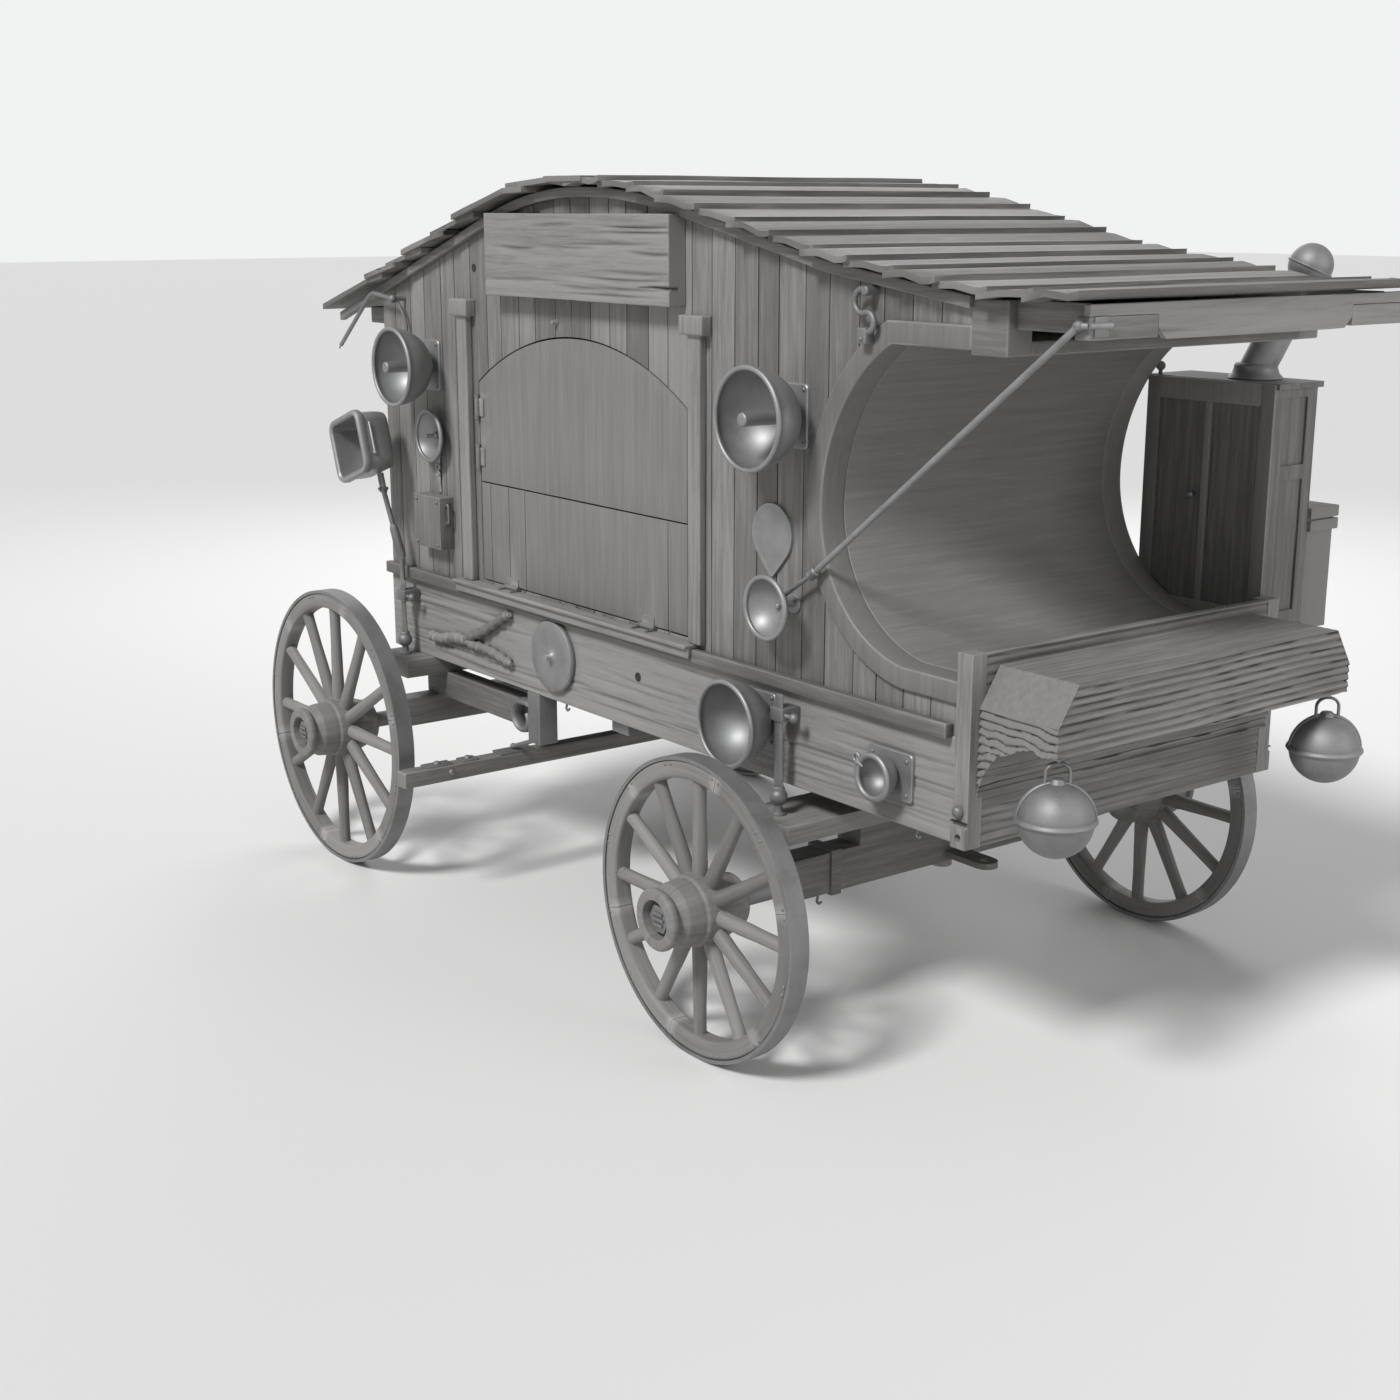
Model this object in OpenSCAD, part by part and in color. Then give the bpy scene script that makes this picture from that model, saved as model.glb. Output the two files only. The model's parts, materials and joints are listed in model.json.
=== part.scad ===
// Horse-drawn wooden merchant wagon with an arched board roof, an open driver's cab and a serving hatch.
// Millimetres. +X is the driver's end, +Y the left-hand side, +Z up, with the wheels standing on z = 0.

/* [Wheels] */
// Distance between the front and rear axles
wheel_base = 2334; // [2300:1:2380]
// Distance between the wheel planes of one axle
track = 2000; // [1980:1:2060]
// Diameter of the front wheels over the tyre
front_wheel_d = 936; // [900:1:960]
// Diameter of the rear wheels over the tyre
rear_wheel_d = 1073; // [1040:1:1090]
// Width of the iron tyre
tyre_w = 65; // [55:1:75]
// Thickness of the iron tyre
tyre_t = 12; // [8:1:16]
// Depth of the wooden rim
felloe_h = 55; // [45:1:65]
// Spokes in a wheel
spoke_n = 12; // [10:2:14]
// Diameter of a spoke
spoke_d = 42; // [34:1:48]
// Length of the hub
hub_len = 300; // [270:1:310]
// Diameter of the hub at its swell
hub_d = 220; // [200:1:240]

/* [Body] */
// Height of the underside of the body
sill_z = 785; // [775:1:800]
// Height of the sill boards
sill_h = 305; // [280:1:320]
// Distance between the outer faces of the plank walls
body_w = 1270; // [1250:1:1290]
// Thickness of the plank walls
wall_t = 30; // [24:1:36]
// Distance from the rear wall to the front board
body_l = 3292; // [3270:1:3310]
// Thickness of the floor
floor_t = 45; // [35:1:55]
// Usual width of a wall plank
plank_w = 112; // [90:1:140]

/* [Roof] */
// Length of the roof from tip to tip
roof_l = 4040; // [4020:1:4100]
// Width of the roof boards
roof_w = 1440; // [1420:1:1500]
// Height of the wall top at the crest
crest_z = 2570; // [2550:1:2600]
// Radius of the arch behind the crest
rear_r = 1850; // [1800:1:1900]
// Radius of the arch ahead of the crest
front_r = 2700; // [2600:1:2800]
// Thickness of a roof board
board_t = 18; // [15:1:22]
// Spacing of the roof boards
board_pitch = 170; // [150:1:190]

/* [Cab] */
// Height of the cab platform
platform_z = 1250; // [1235:1:1265]
// Height of the cab ceiling
ceiling_z = 2140; // [2120:1:2150]
// Upper radius of the cab opening
cab_upper_r = 560; // [540:1:580]
// Lower radius of the cab opening
cab_lower_r = 408; // [405:1:420]
// Width of the frame round the cab opening
cab_frame_w = 65; // [50:1:72]
// Depth of the frame round the cab opening
cab_frame_d = 92; // [80:1:100]
// Thickness of the barrel wall behind the driver
barrel_t = 20; // [14:1:26]

/* [Hatch] */
// Width of the serving hatch
hatch_w = 1267; // [1240:1:1280]
// Height of the lower leaf
hatch_lower_h = 360; // [330:1:380]
// Height of the straight edge of the upper leaf
hatch_upper_h = 360; // [340:1:380]
// Rise of the upper leaf's arch
hatch_rise = 187; // [170:1:200]
// Thickness of the hatch leaves
leaf_t = 25; // [20:1:28]
// Running gap round the moving leaves
leaf_gap = 6; // [5:1:8]
// Width of the sign board
sign_w = 1090; // [1000:1:1150]
// Height of the sign board
sign_h = 280; // [250:1:290]

/* [Door] */
// Width of the rear door
door_w = 620; // [580:1:660]
// Height of the rear door
door_h = 1100; // [1050:1:1200]

/* [Running gear] */
// Diameter of the axle arms in the hubs
arm_d = 60; // [50:1:66]
// Diameter of the kingpin
kingpin_d = 40; // [32:1:44]
// Width of the bolster planks
bolster_w = 240; // [220:1:260]
// Diameter of the draft eye
draft_eye_d = 32; // [28:1:36]

/* [Fittings] */
// Diameter of the front bowl lamp
front_lamp_d = 300; // [280:1:310]
// Diameter of the rear bowl lamp
rear_lamp_d = 285; // [270:1:300]
// Diameter of the hanging pots
pot_d = 208; // [190:1:215]
// Diameter of the stove pipe
pipe_d = 110; // [95:1:118]

/* [Hidden] */
$fn = 48;

// Overrun of cuts, seat gap between touching pieces and gap at running pins
overrun = 2;
seat = 0.3;
pin_gap = 0.3;

// Size of the knuckle where two bars meet, against the bar
knuckle_share = 1.2;

// Wood and iron colours
wood_c = "#8a8782";
dark_wood_c = "#74716d";
iron_c = "#6c6d6f";
tin_c = "#8f9092";

// Places along the wagon
front_axle_x = 887;
rear_axle_x = front_axle_x - wheel_base;
body_rear_x = -1640;
body_front_x = body_rear_x + body_l;
front_wheel_z = front_wheel_d / 2;
rear_wheel_z = rear_wheel_d / 2;
wall_y = body_w / 2;
wall_in_y = wall_y - wall_t;
wall_z = sill_z + sill_h;

// Grooves between planks of uneven width
groove_w = 5;
groove_d = 7;
plank_shares = [1, 0.86, 1.08, 0.94, 1.14, 0.9, 1.02];
leaf_groove_shares = [0.047, 0.146, 0.232, 0.917];

// Sill boards and rails
sill_board_t = 35;
sill_board_proud = 5;
sill_y = wall_y + sill_board_proud;
sill_in_y = sill_y - sill_board_t;
rail_h = 45;
rail_t = 30;
rail_y = sill_y + rail_t;
rail_z = wall_z - sill_board_proud;
rail_top = rail_z + rail_h;
rail_front_back = 30;

// Front posts and front board
post_w = 57;
post_proud = 25;
post_x = body_front_x - post_w;
post_y = wall_y + post_proud;
front_rail_h = 551;
front_board_t = 30;
front_top_z = sill_z + front_rail_h;
post_foot_h = 62;
post_foot_proud = 8;
post_bore_r = 11;
post_bore_l = 30;

// Roof line
crest_x = -230;
rear_pitch = 18.3;
front_pitch = 12.4;
brow_pitch = 7.7;
brow_x = 1020;
canopy_x = body_front_x;
rear_arc = rear_r * sin(rear_pitch);
front_arc = front_r * sin(front_pitch);
rear_slope_z = crest_z - rear_r * (1 - cos(rear_pitch));
front_slope_z = crest_z - front_r * (1 - cos(front_pitch));
brow_z = front_slope_z - (brow_x - crest_x - front_arc) * tan(front_pitch);
canopy_z = brow_z - (canopy_x - brow_x) * tan(brow_pitch);
arc_steps = 7;

// Roof boards
board_lap = 28;
board_bite = 3;
ragged = 26;
ragged_shares = [0.2, 0.9, 0.45, 0, 0.8, 0.3, 1, 0.1, 0.6];
board_cup = 14;
// Cupped section of a board: place across it, rise
cup_shares = [[0, 0], [0.2, 0.35], [0.4, 0.55], [0.6, 0.1], [0.75, -0.3], [0.9, -0.15], [1, 0.25]];
lift_shares = [1, 0.6, 1.2, 0.8, 0.4, 1.1, 0.7];
// Lower edges of the rear boards, along the rear slope
rear_lip_shares = [0, 0.206, 0.404, 0.511, 0.622, 0.711, 0.784, 1];
rear_under = 120;
rear_kink = 16;
ridge_half_w = 110;
stringer_h = 34;
stringer_t = 28;
roof_end_x = roof_l / 2;
stringer_rear_x = 60;

// Cab opening
cab_back_x = 1005;
cab_mid_z = 1655;
cab_front_x = post_x;
frame_proud = 15;
frame_y = wall_y + frame_proud;
frame_in_y = frame_y - cab_frame_d;

// Canopy
header_l = 130;
header_h = 145;
lintel_h = 38;
lintel_t = 30;
canopy_front_x = 2008;
fascia_t = 22;
fascia_h = 30;
fascia_y = 660;
fascia_low_y = 405;
fascia_low_h = 64;
fascia_taper = 34;
bracket_t = 50;
bracket_h = 58;
canopy_end_t = 20;
canopy_end_h = 75;
canopy_end_y = 620;

// Canopy strut
strut_r = 9;
strut_thin_r = 6.5;
strut_top_x = 1985;
strut_top_drop = 52;
strut_top_z = canopy_z - strut_top_drop;
strut_mid_x = 1005;
strut_mid_z = 1466;
strut_low_x = 840;
strut_low_z = 1360;
strut_collar_r = 15;
strut_collar_l = 34;
strut_y = fascia_y + strut_collar_r;

// Foot block
block_l = 288;
block_top_z = 1298;
block_low_z = 1100;
block_chamfer_z = 1185;
block_half = 630;
block_top_half = 556;
block_back_z = 930;
block_nose = 45;
cove_r = 205;

// Hinges
hinge_r = 9;
hinge_pin_r = 5;
hinge_l = 90;
hinge_lug_h = 12;
hinge_plate_w = 34;
hinge_plate_t = 5;
hinge_clear = 0.5;
hinge_stand = hinge_r + seat;

// Hatch
hatch_x = -296;
counter_h = 47;
counter_proud = 65;
counter_y = wall_y + counter_proud;
counter_l = 1468;
counter_x = -328;
counter_z = 1147;
counter_lip = 14;
hatch_z = counter_z + hinge_stand + leaf_gap / 2;
split_z = hatch_z + hatch_lower_h;
spring_z = split_z + leaf_gap + hatch_upper_h;
arch_r = (pow(hatch_w / 2, 2) + pow(hatch_rise, 2)) / (2 * hatch_rise);
leaf_y = wall_y;
post_cap_h = 60;
post_cap_proud = 28;
hatch_post_w = 62;
hatch_post_t = 30;
hatch_post_gap = 40;
hatch_post_h = 975;

// Sign board
sign_x = -211;
sign_z = 2204;
sign_t = 68;

// Rear wall and door
rear_wall_t = 30;
door_z = sill_z + floor_t + leaf_gap;
door_t = 28;

// Running gear stack
axle_rise = 92;
axle_h = 130;
axle_d = 100;
axle_half = 700;
front_bolster_h = 80;
front_bolster_half = 410;
front_bolster_d = 110;
turn_gap = 5;
plank_t = 60;
plank_half = 760;
rear_plank_t = 70;
rear_axle_rise = 74;
rear_axle_h = 112;
rear_axle_half = 740;
rear_axle_d = 90;
front_axle_top = front_wheel_z + axle_rise;
front_plank_z = front_axle_top + front_bolster_h + turn_gap;
front_plank_top = front_plank_z + plank_t;
rear_axle_top = rear_wheel_z + rear_axle_rise;
rear_plank_z = sill_z - rear_plank_t;
riser_y = 350;
riser_w = 120;
strap_y = 510;
strap_w = 40;
strap_t = 8;
reach_w = 70;
reach_h = 60;
beam_y = 545;
beam_w = 70;
beam_front_x = -640;
arm_r = arm_d / 2;
arm_end = 22;
nut_r = 46;
nut_h = 26;
nut_gap = 1;
tongue_l = 150;
tongue_w = 80;
tongue_t = 20;
tongue_rise = 20;
kingpin_nut_r = 34;
kingpin_nut_h = 24;
draft_eye_r = draft_eye_d / 2;

// Hub profile
hub_end_d = 176;
hub_band_d = 192;
hub_band_w = 26;
hub_neck_d = 160;
hub_barrel_d = 204;
hub_bead = 7;
spoke_rim_share = 0.82;
felloe_chamfer = 9;
hub_recess_d = 120;
hub_recess = 44;
hub_out = 170;
hub_out_y = track / 2 + hub_out;
hub_in_y = hub_out_y - hub_len;

// Brake
brake_x = -812;
brake_half = 1080;
brake_d = 60;
brake_h = 60;
brake_z = 450;
hanger_x = -600;
hanger_w = 80;
hanger_y = 600;
hanger_low_z = 590;
hanger_rod_r = 9;
brake_plate_l = 150;
brake_plate_t = 8;
scroll_r = 52;
scroll_t = 30;
scroll_w = 44;
scroll_tip_r = 21;
scroll_sweep = 190;
scroll_neck_share = 0.8;
cleat_x = -95;
cleat_l = 100;
cleat_h = 52;
cleat_w = 50;

// Lamps and bowls: shell thickness, straight collar and rim bead
shell_t = 5;
rim_r = 8;
lamp_collar = 10;
lamp_stand = 12;
lamp_plate_w = 130;
lamp_plate_h = 190;
lamp_plate_t = 12;
bulb_r = 21;
bulb_l = 158;
front_lamp_x = 870;
front_lamp_z = 1912;
rear_lamp_x = -1265;
rear_lamp_z = 1927;
dish_d = 190;
dish_x = -1235;
dish_z = 1665;
dish_h = 46;
dish_stem_r = 9;
dish_plate_w = 36;
dish_plate_h = 100;
dish_plate_t = 8;
dish_plate_drop = 120;
box_x = -1240;
box_z = 1240;
box_w = 190;
box_h = 200;
box_d = 62;
drop_x = 774;
drop_z = 1550;
drop_r = 94;
drop_low = 118;
drop_t = 14;
drop_tip_r = 14;
small_bowl_d = 190;
small_bowl_x = 876;
small_bowl_z = 1352;
small_bowl_h = 60;
small_bowl_stand = 55;
big_bowl_d = 268;
big_bowl_x = 742;
big_bowl_z = 975;
big_plate_w = 130;
big_plate_h = 170;
mug_d = 132;
mug_collar = 8;
mug_sunk = 10;
mug_x = 1325;
mug_z = 930;
mug_plate_w = 190;
mug_plate_h = 145;
mug_ear_r = 18;
mug_ear_bore_r = 7;
mug_ear_t = 10;
mug_ear_turn = 150;
disc_d = 262;
disc_x = -442;
disc_z = 952;
disc_t = 26;
disc_boss_r = 14;
disc_boss_l = 20;
branch_x = -1046;
branch_z = 906;
branch_r = 17;
branch_stem = 270;
branch_fork = 330;
branch_rise = 150;
branch_drop = 30;

// Rear lantern
lantern_x = -1561;
lantern_mid_z = 1606;
lantern_turn = 14.4;
lantern_w = 257;
lantern_h = 249;
lantern_face_y = 860;
lantern_d = 140;
lantern_t = 14;
lantern_rim = 32;
lantern_rim_proud = 10;
lantern_corner_r = 40;
lantern_rod_r = 10;
lantern_rod_in = 20;
lantern_fork_r = 14;
lantern_fork_l = 65;
lantern_socket_r = 18;
lantern_socket_l = 135;

// Ball stays
stay_y = 700;
stay_ball_r = 28;
stay_blade_w = 34;
stay_blade_t = 14;
stay_clamp_h = 44;
stay_clamp_w = 60;
stay_top_drop = 40;
stay_ball_rise = 58;
stay_pin_r = 12;
stay_knob_r = 16;
stay_knob_reach = 70;

// Roof hook, rear rod and corbels
hook_x = 1215;
hook_z = 2170;
hook_upper_r = 33;
hook_lower_r = 27;
hook_sweep = 230;
hook_lean = 110;
hook_rod_r = 9;
hook_button_r = 14;
hook_button_t = 24;
hook_end = 60;
hook_bends = 9;
hook_plate_w = 36;
corbel_l = 250;
corbel_h = 130;
corbel_w = 60;
corbel_y = 560;
rear_rod_r = 8;
rear_rod_y = 690;
rear_rod_x = -1905;
rear_rod_z = 1970;
rear_rod_top_x = -1629;
rear_rod_drop = 20;
rear_rod_wall_x = -1462;

// Cabinet, chest and stove pipe
cabinet_x = 1103;
cabinet_l = 490;
cabinet_z = 1228;
cabinet_h = 757;
cabinet_d = 205;
cabinet_t = 18;
cabinet_stile = 46;
cabinet_panel_in = 8;
cabinet_knob_r = 13;
cabinet_cornice = 12;
chest_d = 130;
chest_z = 1200;
chest_h = 355;
chest_lid_t = 40;
chest_lid_gap = 5;
pipe_x = 1425;
pipe_y = 765;
pipe_top_x = 1530;
pipe_top_y = 860;
pipe_top_z = 2330;
pipe_collar_r = 80;
pipe_neck_r = 63;
pipe_collar_h = 48;
pipe_cap_r = 68;

// Hanging pots
pot_x = 1905;
pot_y = 585;
pot_z = 925;
pot_rib_r = 5;
pot_brim = 9;
pot_brim_t = 12;
pot_turn = 45;
bail_r = 30;
bail_rod_r = 7;

// Height of the roof line above the ground at x
function roof_z(x) =
  let (d = x - crest_x)
  d < -rear_arc ? rear_slope_z - (-d - rear_arc) * tan(rear_pitch) :
  d < 0 ? crest_z - rear_r + sqrt(rear_r * rear_r - d * d) :
  d < front_arc ? crest_z - front_r + sqrt(front_r * front_r - d * d) :
  x < brow_x ? front_slope_z - (d - front_arc) * tan(front_pitch) :
  x < canopy_x ? brow_z - (x - brow_x) * tan(brow_pitch) : canopy_z;

// Places along x where the roof line bends, between two ends
function roof_breaks(x0, x1) = concat(
  [x0],
  [for (i = [arc_steps:-1:1]) let (x = crest_x - rear_arc * i / arc_steps) if (x > x0 && x < x1) x],
  [for (i = [0:arc_steps]) let (x = crest_x + front_arc * i / arc_steps) if (x > x0 && x < x1) x],
  [for (x = [brow_x, canopy_x]) if (x > x0 && x < x1) x],
  [x1]
);

// Width of the first planks of a row together
function plank_run(n) = n == 0 ? 0 : plank_run(n - 1) + plank_w * plank_shares[n % len(plank_shares)];

// Places of the grooves in a row of planks between two ends
function plank_grooves(a, b) = [
  for (n = [1:2 * ceil((b - a) / plank_w)]) let (g = a + plank_run(n)) if (g < b - plank_w / 2) g
];

// A box between two corners
module block(x0, x1, y0, y1, z0, z1) {
  translate([x0, y0, z0]) cube([x1 - x0, y1 - y0, z1 - z0]);
}

// A flat outline drawn in x and z, as thick as from y0 to y1
module along_y(y0, y1) {
  translate([0, y1, 0]) rotate([90, 0, 0]) linear_extrude(height = y1 - y0) children();
}

// A shape drawn along +Z, set at one point and turned towards another
module towards(a, b) {
  v = b - a;
  translate(a) rotate([0, acos(v[2] / norm(v)), atan2(v[1], v[0])]) children();
}

// A round bar between two points
module bar(a, b, r) {
  towards(a, b) cylinder(r = r, h = norm(b - a));
}

// The child and its mirror image on the left-hand side
module both_sides() {
  children();
  mirror([0, 1, 0]) children();
}

// A shape drawn with +Z as its outward direction, set on the right-hand wall
module on_right_wall(x, y, z) {
  translate([x, -y, z]) rotate([90, 0, 0]) children();
}

// Outline of the cab opening in x and z, grown outward
module cab_outline(grow, front_x) {
  intersection() {
    translate([cab_back_x + cab_upper_r, cab_mid_z]) circle(r = cab_upper_r + grow, $fn = 96);
    translate([cab_back_x - grow, cab_mid_z])
      square([cab_upper_r + grow, ceiling_z + grow - cab_mid_z]);
  }
  intersection() {
    translate([cab_back_x + cab_lower_r, cab_mid_z]) circle(r = cab_lower_r + grow, $fn = 96);
    translate([cab_back_x - grow, platform_z - grow])
      square([cab_lower_r + grow, cab_mid_z - platform_z + grow]);
  }
  translate([cab_back_x + cab_upper_r, cab_mid_z])
    square([front_x - cab_back_x - cab_upper_r, ceiling_z + grow - cab_mid_z]);
  translate([cab_back_x + cab_lower_r, platform_z - grow])
    square([front_x - cab_back_x - cab_lower_r, cab_mid_z - platform_z + grow]);
}

// Arched outline of the upper hatch leaf, grown outward
module arch_outline(grow) {
  translate([hatch_x - hatch_w / 2 - grow, split_z + leaf_gap - grow])
    square([hatch_w + 2 * grow, spring_z - split_z - leaf_gap + grow]);
  intersection() {
    translate([hatch_x, spring_z + hatch_rise - arch_r]) circle(r = arch_r + grow, $fn = 180);
    translate([hatch_x - hatch_w / 2 - grow, spring_z])
      square([hatch_w + 2 * grow, hatch_rise + grow]);
  }
}

// Outline of the whole hatch opening in the wall
module hatch_opening() {
  arch_outline(leaf_gap);
  translate([hatch_x - hatch_w / 2 - leaf_gap, hatch_z - leaf_gap])
    square([hatch_w + 2 * leaf_gap, split_z + leaf_gap - hatch_z + leaf_gap]);
}

// Outline of a plank side wall
module side_wall_outline() {
  xs = roof_breaks(body_rear_x, cab_front_x);
  polygon(concat(
    [[cab_front_x, wall_z], [body_rear_x, wall_z]],
    [for (x = xs) [x, roof_z(x) - seat]]
  ));
}

// One fixed half of a hinge: pin, end lugs and plates towards -X, standing along +Z
module hinge_fixed() {
  cylinder(r = hinge_pin_r, h = hinge_l);
  for (z = [0, hinge_l - hinge_lug_h])
    translate([0, 0, z]) {
      cylinder(r = hinge_r, h = hinge_lug_h);
      translate([-hinge_plate_w, hinge_stand - hinge_plate_t, 0])
        cube([hinge_plate_w, hinge_plate_t, hinge_lug_h]);
    }
}

// One moving half of a hinge: sleeve and strap towards +X
module hinge_moving() {
  z0 = hinge_lug_h + hinge_clear;
  h = hinge_l - 2 * z0;
  difference() {
    union() {
      translate([0, 0, z0]) cylinder(r = hinge_r, h = h);
      translate([0, hinge_r - hinge_plate_t, z0]) cube([hinge_plate_w, hinge_plate_t + overrun, h]);
    }
    translate([0, 0, z0 - overrun]) cylinder(r = hinge_pin_r + pin_gap, h = h + 2 * overrun);
  }
}

// Places of the hinges of the upper leaf, lower leaf and rear door
module at_upper_hinges() {
  for (z = [split_z + leaf_gap + hatch_upper_h / 8, spring_z - hatch_upper_h / 8 - hinge_l])
    translate([hatch_x - hatch_w / 2 - leaf_gap / 2, -leaf_y - hinge_stand, z]) children();
}

module at_lower_hinges() {
  for (s = [-1, 1])
    translate([hatch_x + s * hatch_w / 3 + hinge_l / 2, -leaf_y - hinge_stand, counter_z + hinge_stand])
      children();
}

module at_door_hinges() {
  for (z = [door_z + door_h / 6, door_z + door_h * 5 / 6 - hinge_l])
    translate([body_rear_x - hinge_stand, door_w / 2 + leaf_gap / 2, z]) rotate([0, 0, -90]) children();
}

// Floor of the cabin, on which walls and sill boards stand
module floor() {
  color(dark_wood_c)
    block(body_rear_x + rear_wall_t, body_front_x - front_board_t, -sill_in_y, sill_in_y,
      sill_z, sill_z + floor_t);
}

// Sill boards along both sides
module sill_boards() {
  color(wood_c) both_sides()
    block(body_rear_x, cab_front_x, -sill_y, -sill_in_y, sill_z, wall_z);
}

// Cuts between the planks of a side wall
module side_grooves(y0, y1) {
  for (x = plank_grooves(body_rear_x, cab_front_x))
    block(x - groove_w / 2, x + groove_w / 2, y0, y1, wall_z - overrun, crest_z);
}

// Right-hand plank wall with the serving hatch and the cab opening
module wall_right() {
  color(wood_c) difference() {
    along_y(-wall_y, -wall_in_y) side_wall_outline();
    along_y(-wall_y - overrun, -wall_in_y + overrun) cab_outline(cab_frame_w, cab_front_x + overrun);
    along_y(-wall_y - overrun, -wall_in_y + overrun) hatch_opening();
    side_grooves(-wall_y - overrun, -wall_y + groove_d);
  }
}

// Left-hand plank wall with the cab opening
module wall_left() {
  color(wood_c) difference() {
    along_y(wall_in_y, wall_y) side_wall_outline();
    along_y(wall_in_y - overrun, wall_y + overrun) cab_outline(cab_frame_w, cab_front_x + overrun);
    side_grooves(wall_y - groove_d, wall_y + overrun);
  }
}

// Rear wall with the doorway
module wall_rear() {
  top = roof_z(body_rear_x) - seat;
  color(wood_c) difference() {
    block(body_rear_x, body_rear_x + rear_wall_t, -wall_in_y, wall_in_y, sill_z, top);
    block(body_rear_x - overrun, body_rear_x + rear_wall_t + overrun,
      -door_w / 2 - leaf_gap, door_w / 2 + leaf_gap, door_z - leaf_gap, door_z + door_h + leaf_gap);
    for (y = plank_grooves(-wall_in_y, wall_in_y))
      block(body_rear_x - overrun, body_rear_x + groove_d, y - groove_w / 2, y + groove_w / 2,
        sill_z - overrun, crest_z);
  }
}

// Rear door, hinged on its left-hand edge
module rear_door() {
  color(dark_wood_c) {
    difference() {
      block(body_rear_x, body_rear_x + door_t, -door_w / 2, door_w / 2, door_z, door_z + door_h);
      for (y = plank_grooves(-door_w / 2, door_w / 2))
        block(body_rear_x - overrun, body_rear_x + groove_d, y - groove_w / 2, y + groove_w / 2,
          door_z - overrun, door_z + door_h + overrun);
    }
    at_door_hinges() hinge_moving();
  }
}

// Rails over the joint between sill boards and walls
module sill_rails() {
  color(dark_wood_c) both_sides()
    block(body_rear_x, cab_front_x - rail_front_back, -rail_y, -sill_y, rail_z, rail_top);
}

// Frames that line the cab openings
module cab_frames() {
  color(wood_c) both_sides() along_y(-frame_y, -frame_in_y) difference() {
    cab_outline(cab_frame_w, cab_front_x);
    cab_outline(0, cab_front_x + overrun);
  }
}

// Barrel-shaped wall, ceiling and platform behind and under the driver
module cab_barrel() {
  front_x = body_front_x - front_board_t;
  color(wood_c) along_y(-frame_in_y, frame_in_y) difference() {
    cab_outline(barrel_t, front_x);
    cab_outline(0, front_x + overrun);
  }
}

// Corner posts with their bored feet
module front_posts() {
  color(wood_c) both_sides() difference() {
    union() {
      block(post_x, post_x + post_w, -post_y, -sill_in_y, sill_z, front_top_z);
      block(post_x, post_x + post_w, -post_y - post_foot_proud, -post_y, sill_z, sill_z + post_foot_h);
    }
    translate([post_x + post_w / 2, -post_y - post_foot_proud - overrun, sill_z + post_foot_h / 2])
      rotate([-90, 0, 0]) cylinder(r = post_bore_r, h = post_bore_l + overrun);
  }
}

// Board across the front, with the platform behind it
module front_board() {
  color(wood_c)
    block(body_front_x - front_board_t, body_front_x, -sill_in_y, sill_in_y, sill_z, front_top_z);
}

// Carved foot block with a cove along its underside
module foot_block() {
  x1 = body_front_x + block_l;
  a = [x1 - block_nose, block_low_z];
  b = [body_front_x, block_back_z];
  half = norm(a - b) / 2;
  u = (a - b) / norm(a - b);
  c = (a + b) / 2 + sqrt(cove_r * cove_r - half * half) * [u[1], -u[0]];
  color(wood_c) intersection() {
    along_y(-block_half, block_half) difference() {
      polygon([
        [body_front_x, block_back_z], a, [x1, block_low_z], [x1, block_top_z], [body_front_x, block_top_z]
      ]);
      translate(c) circle(r = cove_r, $fn = 96);
    }
    translate([body_front_x, 0, 0]) rotate([90, 0, 90]) linear_extrude(height = block_l) polygon([
      [-block_half, block_back_z], [block_half, block_back_z], [block_half, block_chamfer_z],
      [block_top_half, block_top_z], [-block_top_half, block_top_z], [-block_half, block_chamfer_z]
    ]);
  }
}

// Blocks at the upper front corners of the cab
module header_blocks() {
  top = canopy_z - seat;
  color(wood_c) both_sides()
    block(cab_front_x, cab_front_x + header_l, -frame_y, -frame_in_y, top - header_h, top);
}

// Lintel between the header blocks
module lintel() {
  x1 = cab_front_x + header_l;
  z0 = canopy_z - seat - header_h;
  color(wood_c) block(x1 - lintel_t, x1, -frame_in_y, frame_in_y, z0, z0 + lintel_h);
}

// Side panels of the canopy ahead of the header blocks
module canopy_ends() {
  color(wood_c) both_sides()
    block(cab_front_x + header_l, canopy_front_x - bracket_t, -canopy_end_y, -canopy_end_y + canopy_end_t,
      canopy_z - seat - canopy_end_h, canopy_z - seat);
}

// Boards across the front edge of the canopy
module canopy_fascia() {
  top = canopy_z - seat;
  color(wood_c) {
    block(canopy_front_x - fascia_t, canopy_front_x, -fascia_y, fascia_y, top - fascia_h, top);
    translate([canopy_front_x - fascia_t, 0, top - fascia_h]) rotate([90, 0, 90])
      linear_extrude(height = fascia_t) polygon([
        [-fascia_low_y, 0], [fascia_low_y, 0], [fascia_low_y, -fascia_low_h / 2],
        [fascia_low_y - fascia_taper, -fascia_low_h], [fascia_taper - fascia_low_y, -fascia_low_h],
        [-fascia_low_y, -fascia_low_h / 2]
      ]);
  }
}

// Brackets under the ends of the canopy fascia
module canopy_brackets() {
  top = canopy_z - seat - fascia_h;
  color(wood_c) both_sides()
    block(canopy_front_x - bracket_t, canopy_front_x, -fascia_y, -fascia_low_y - seat, top - bracket_h, top);
}

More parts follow.
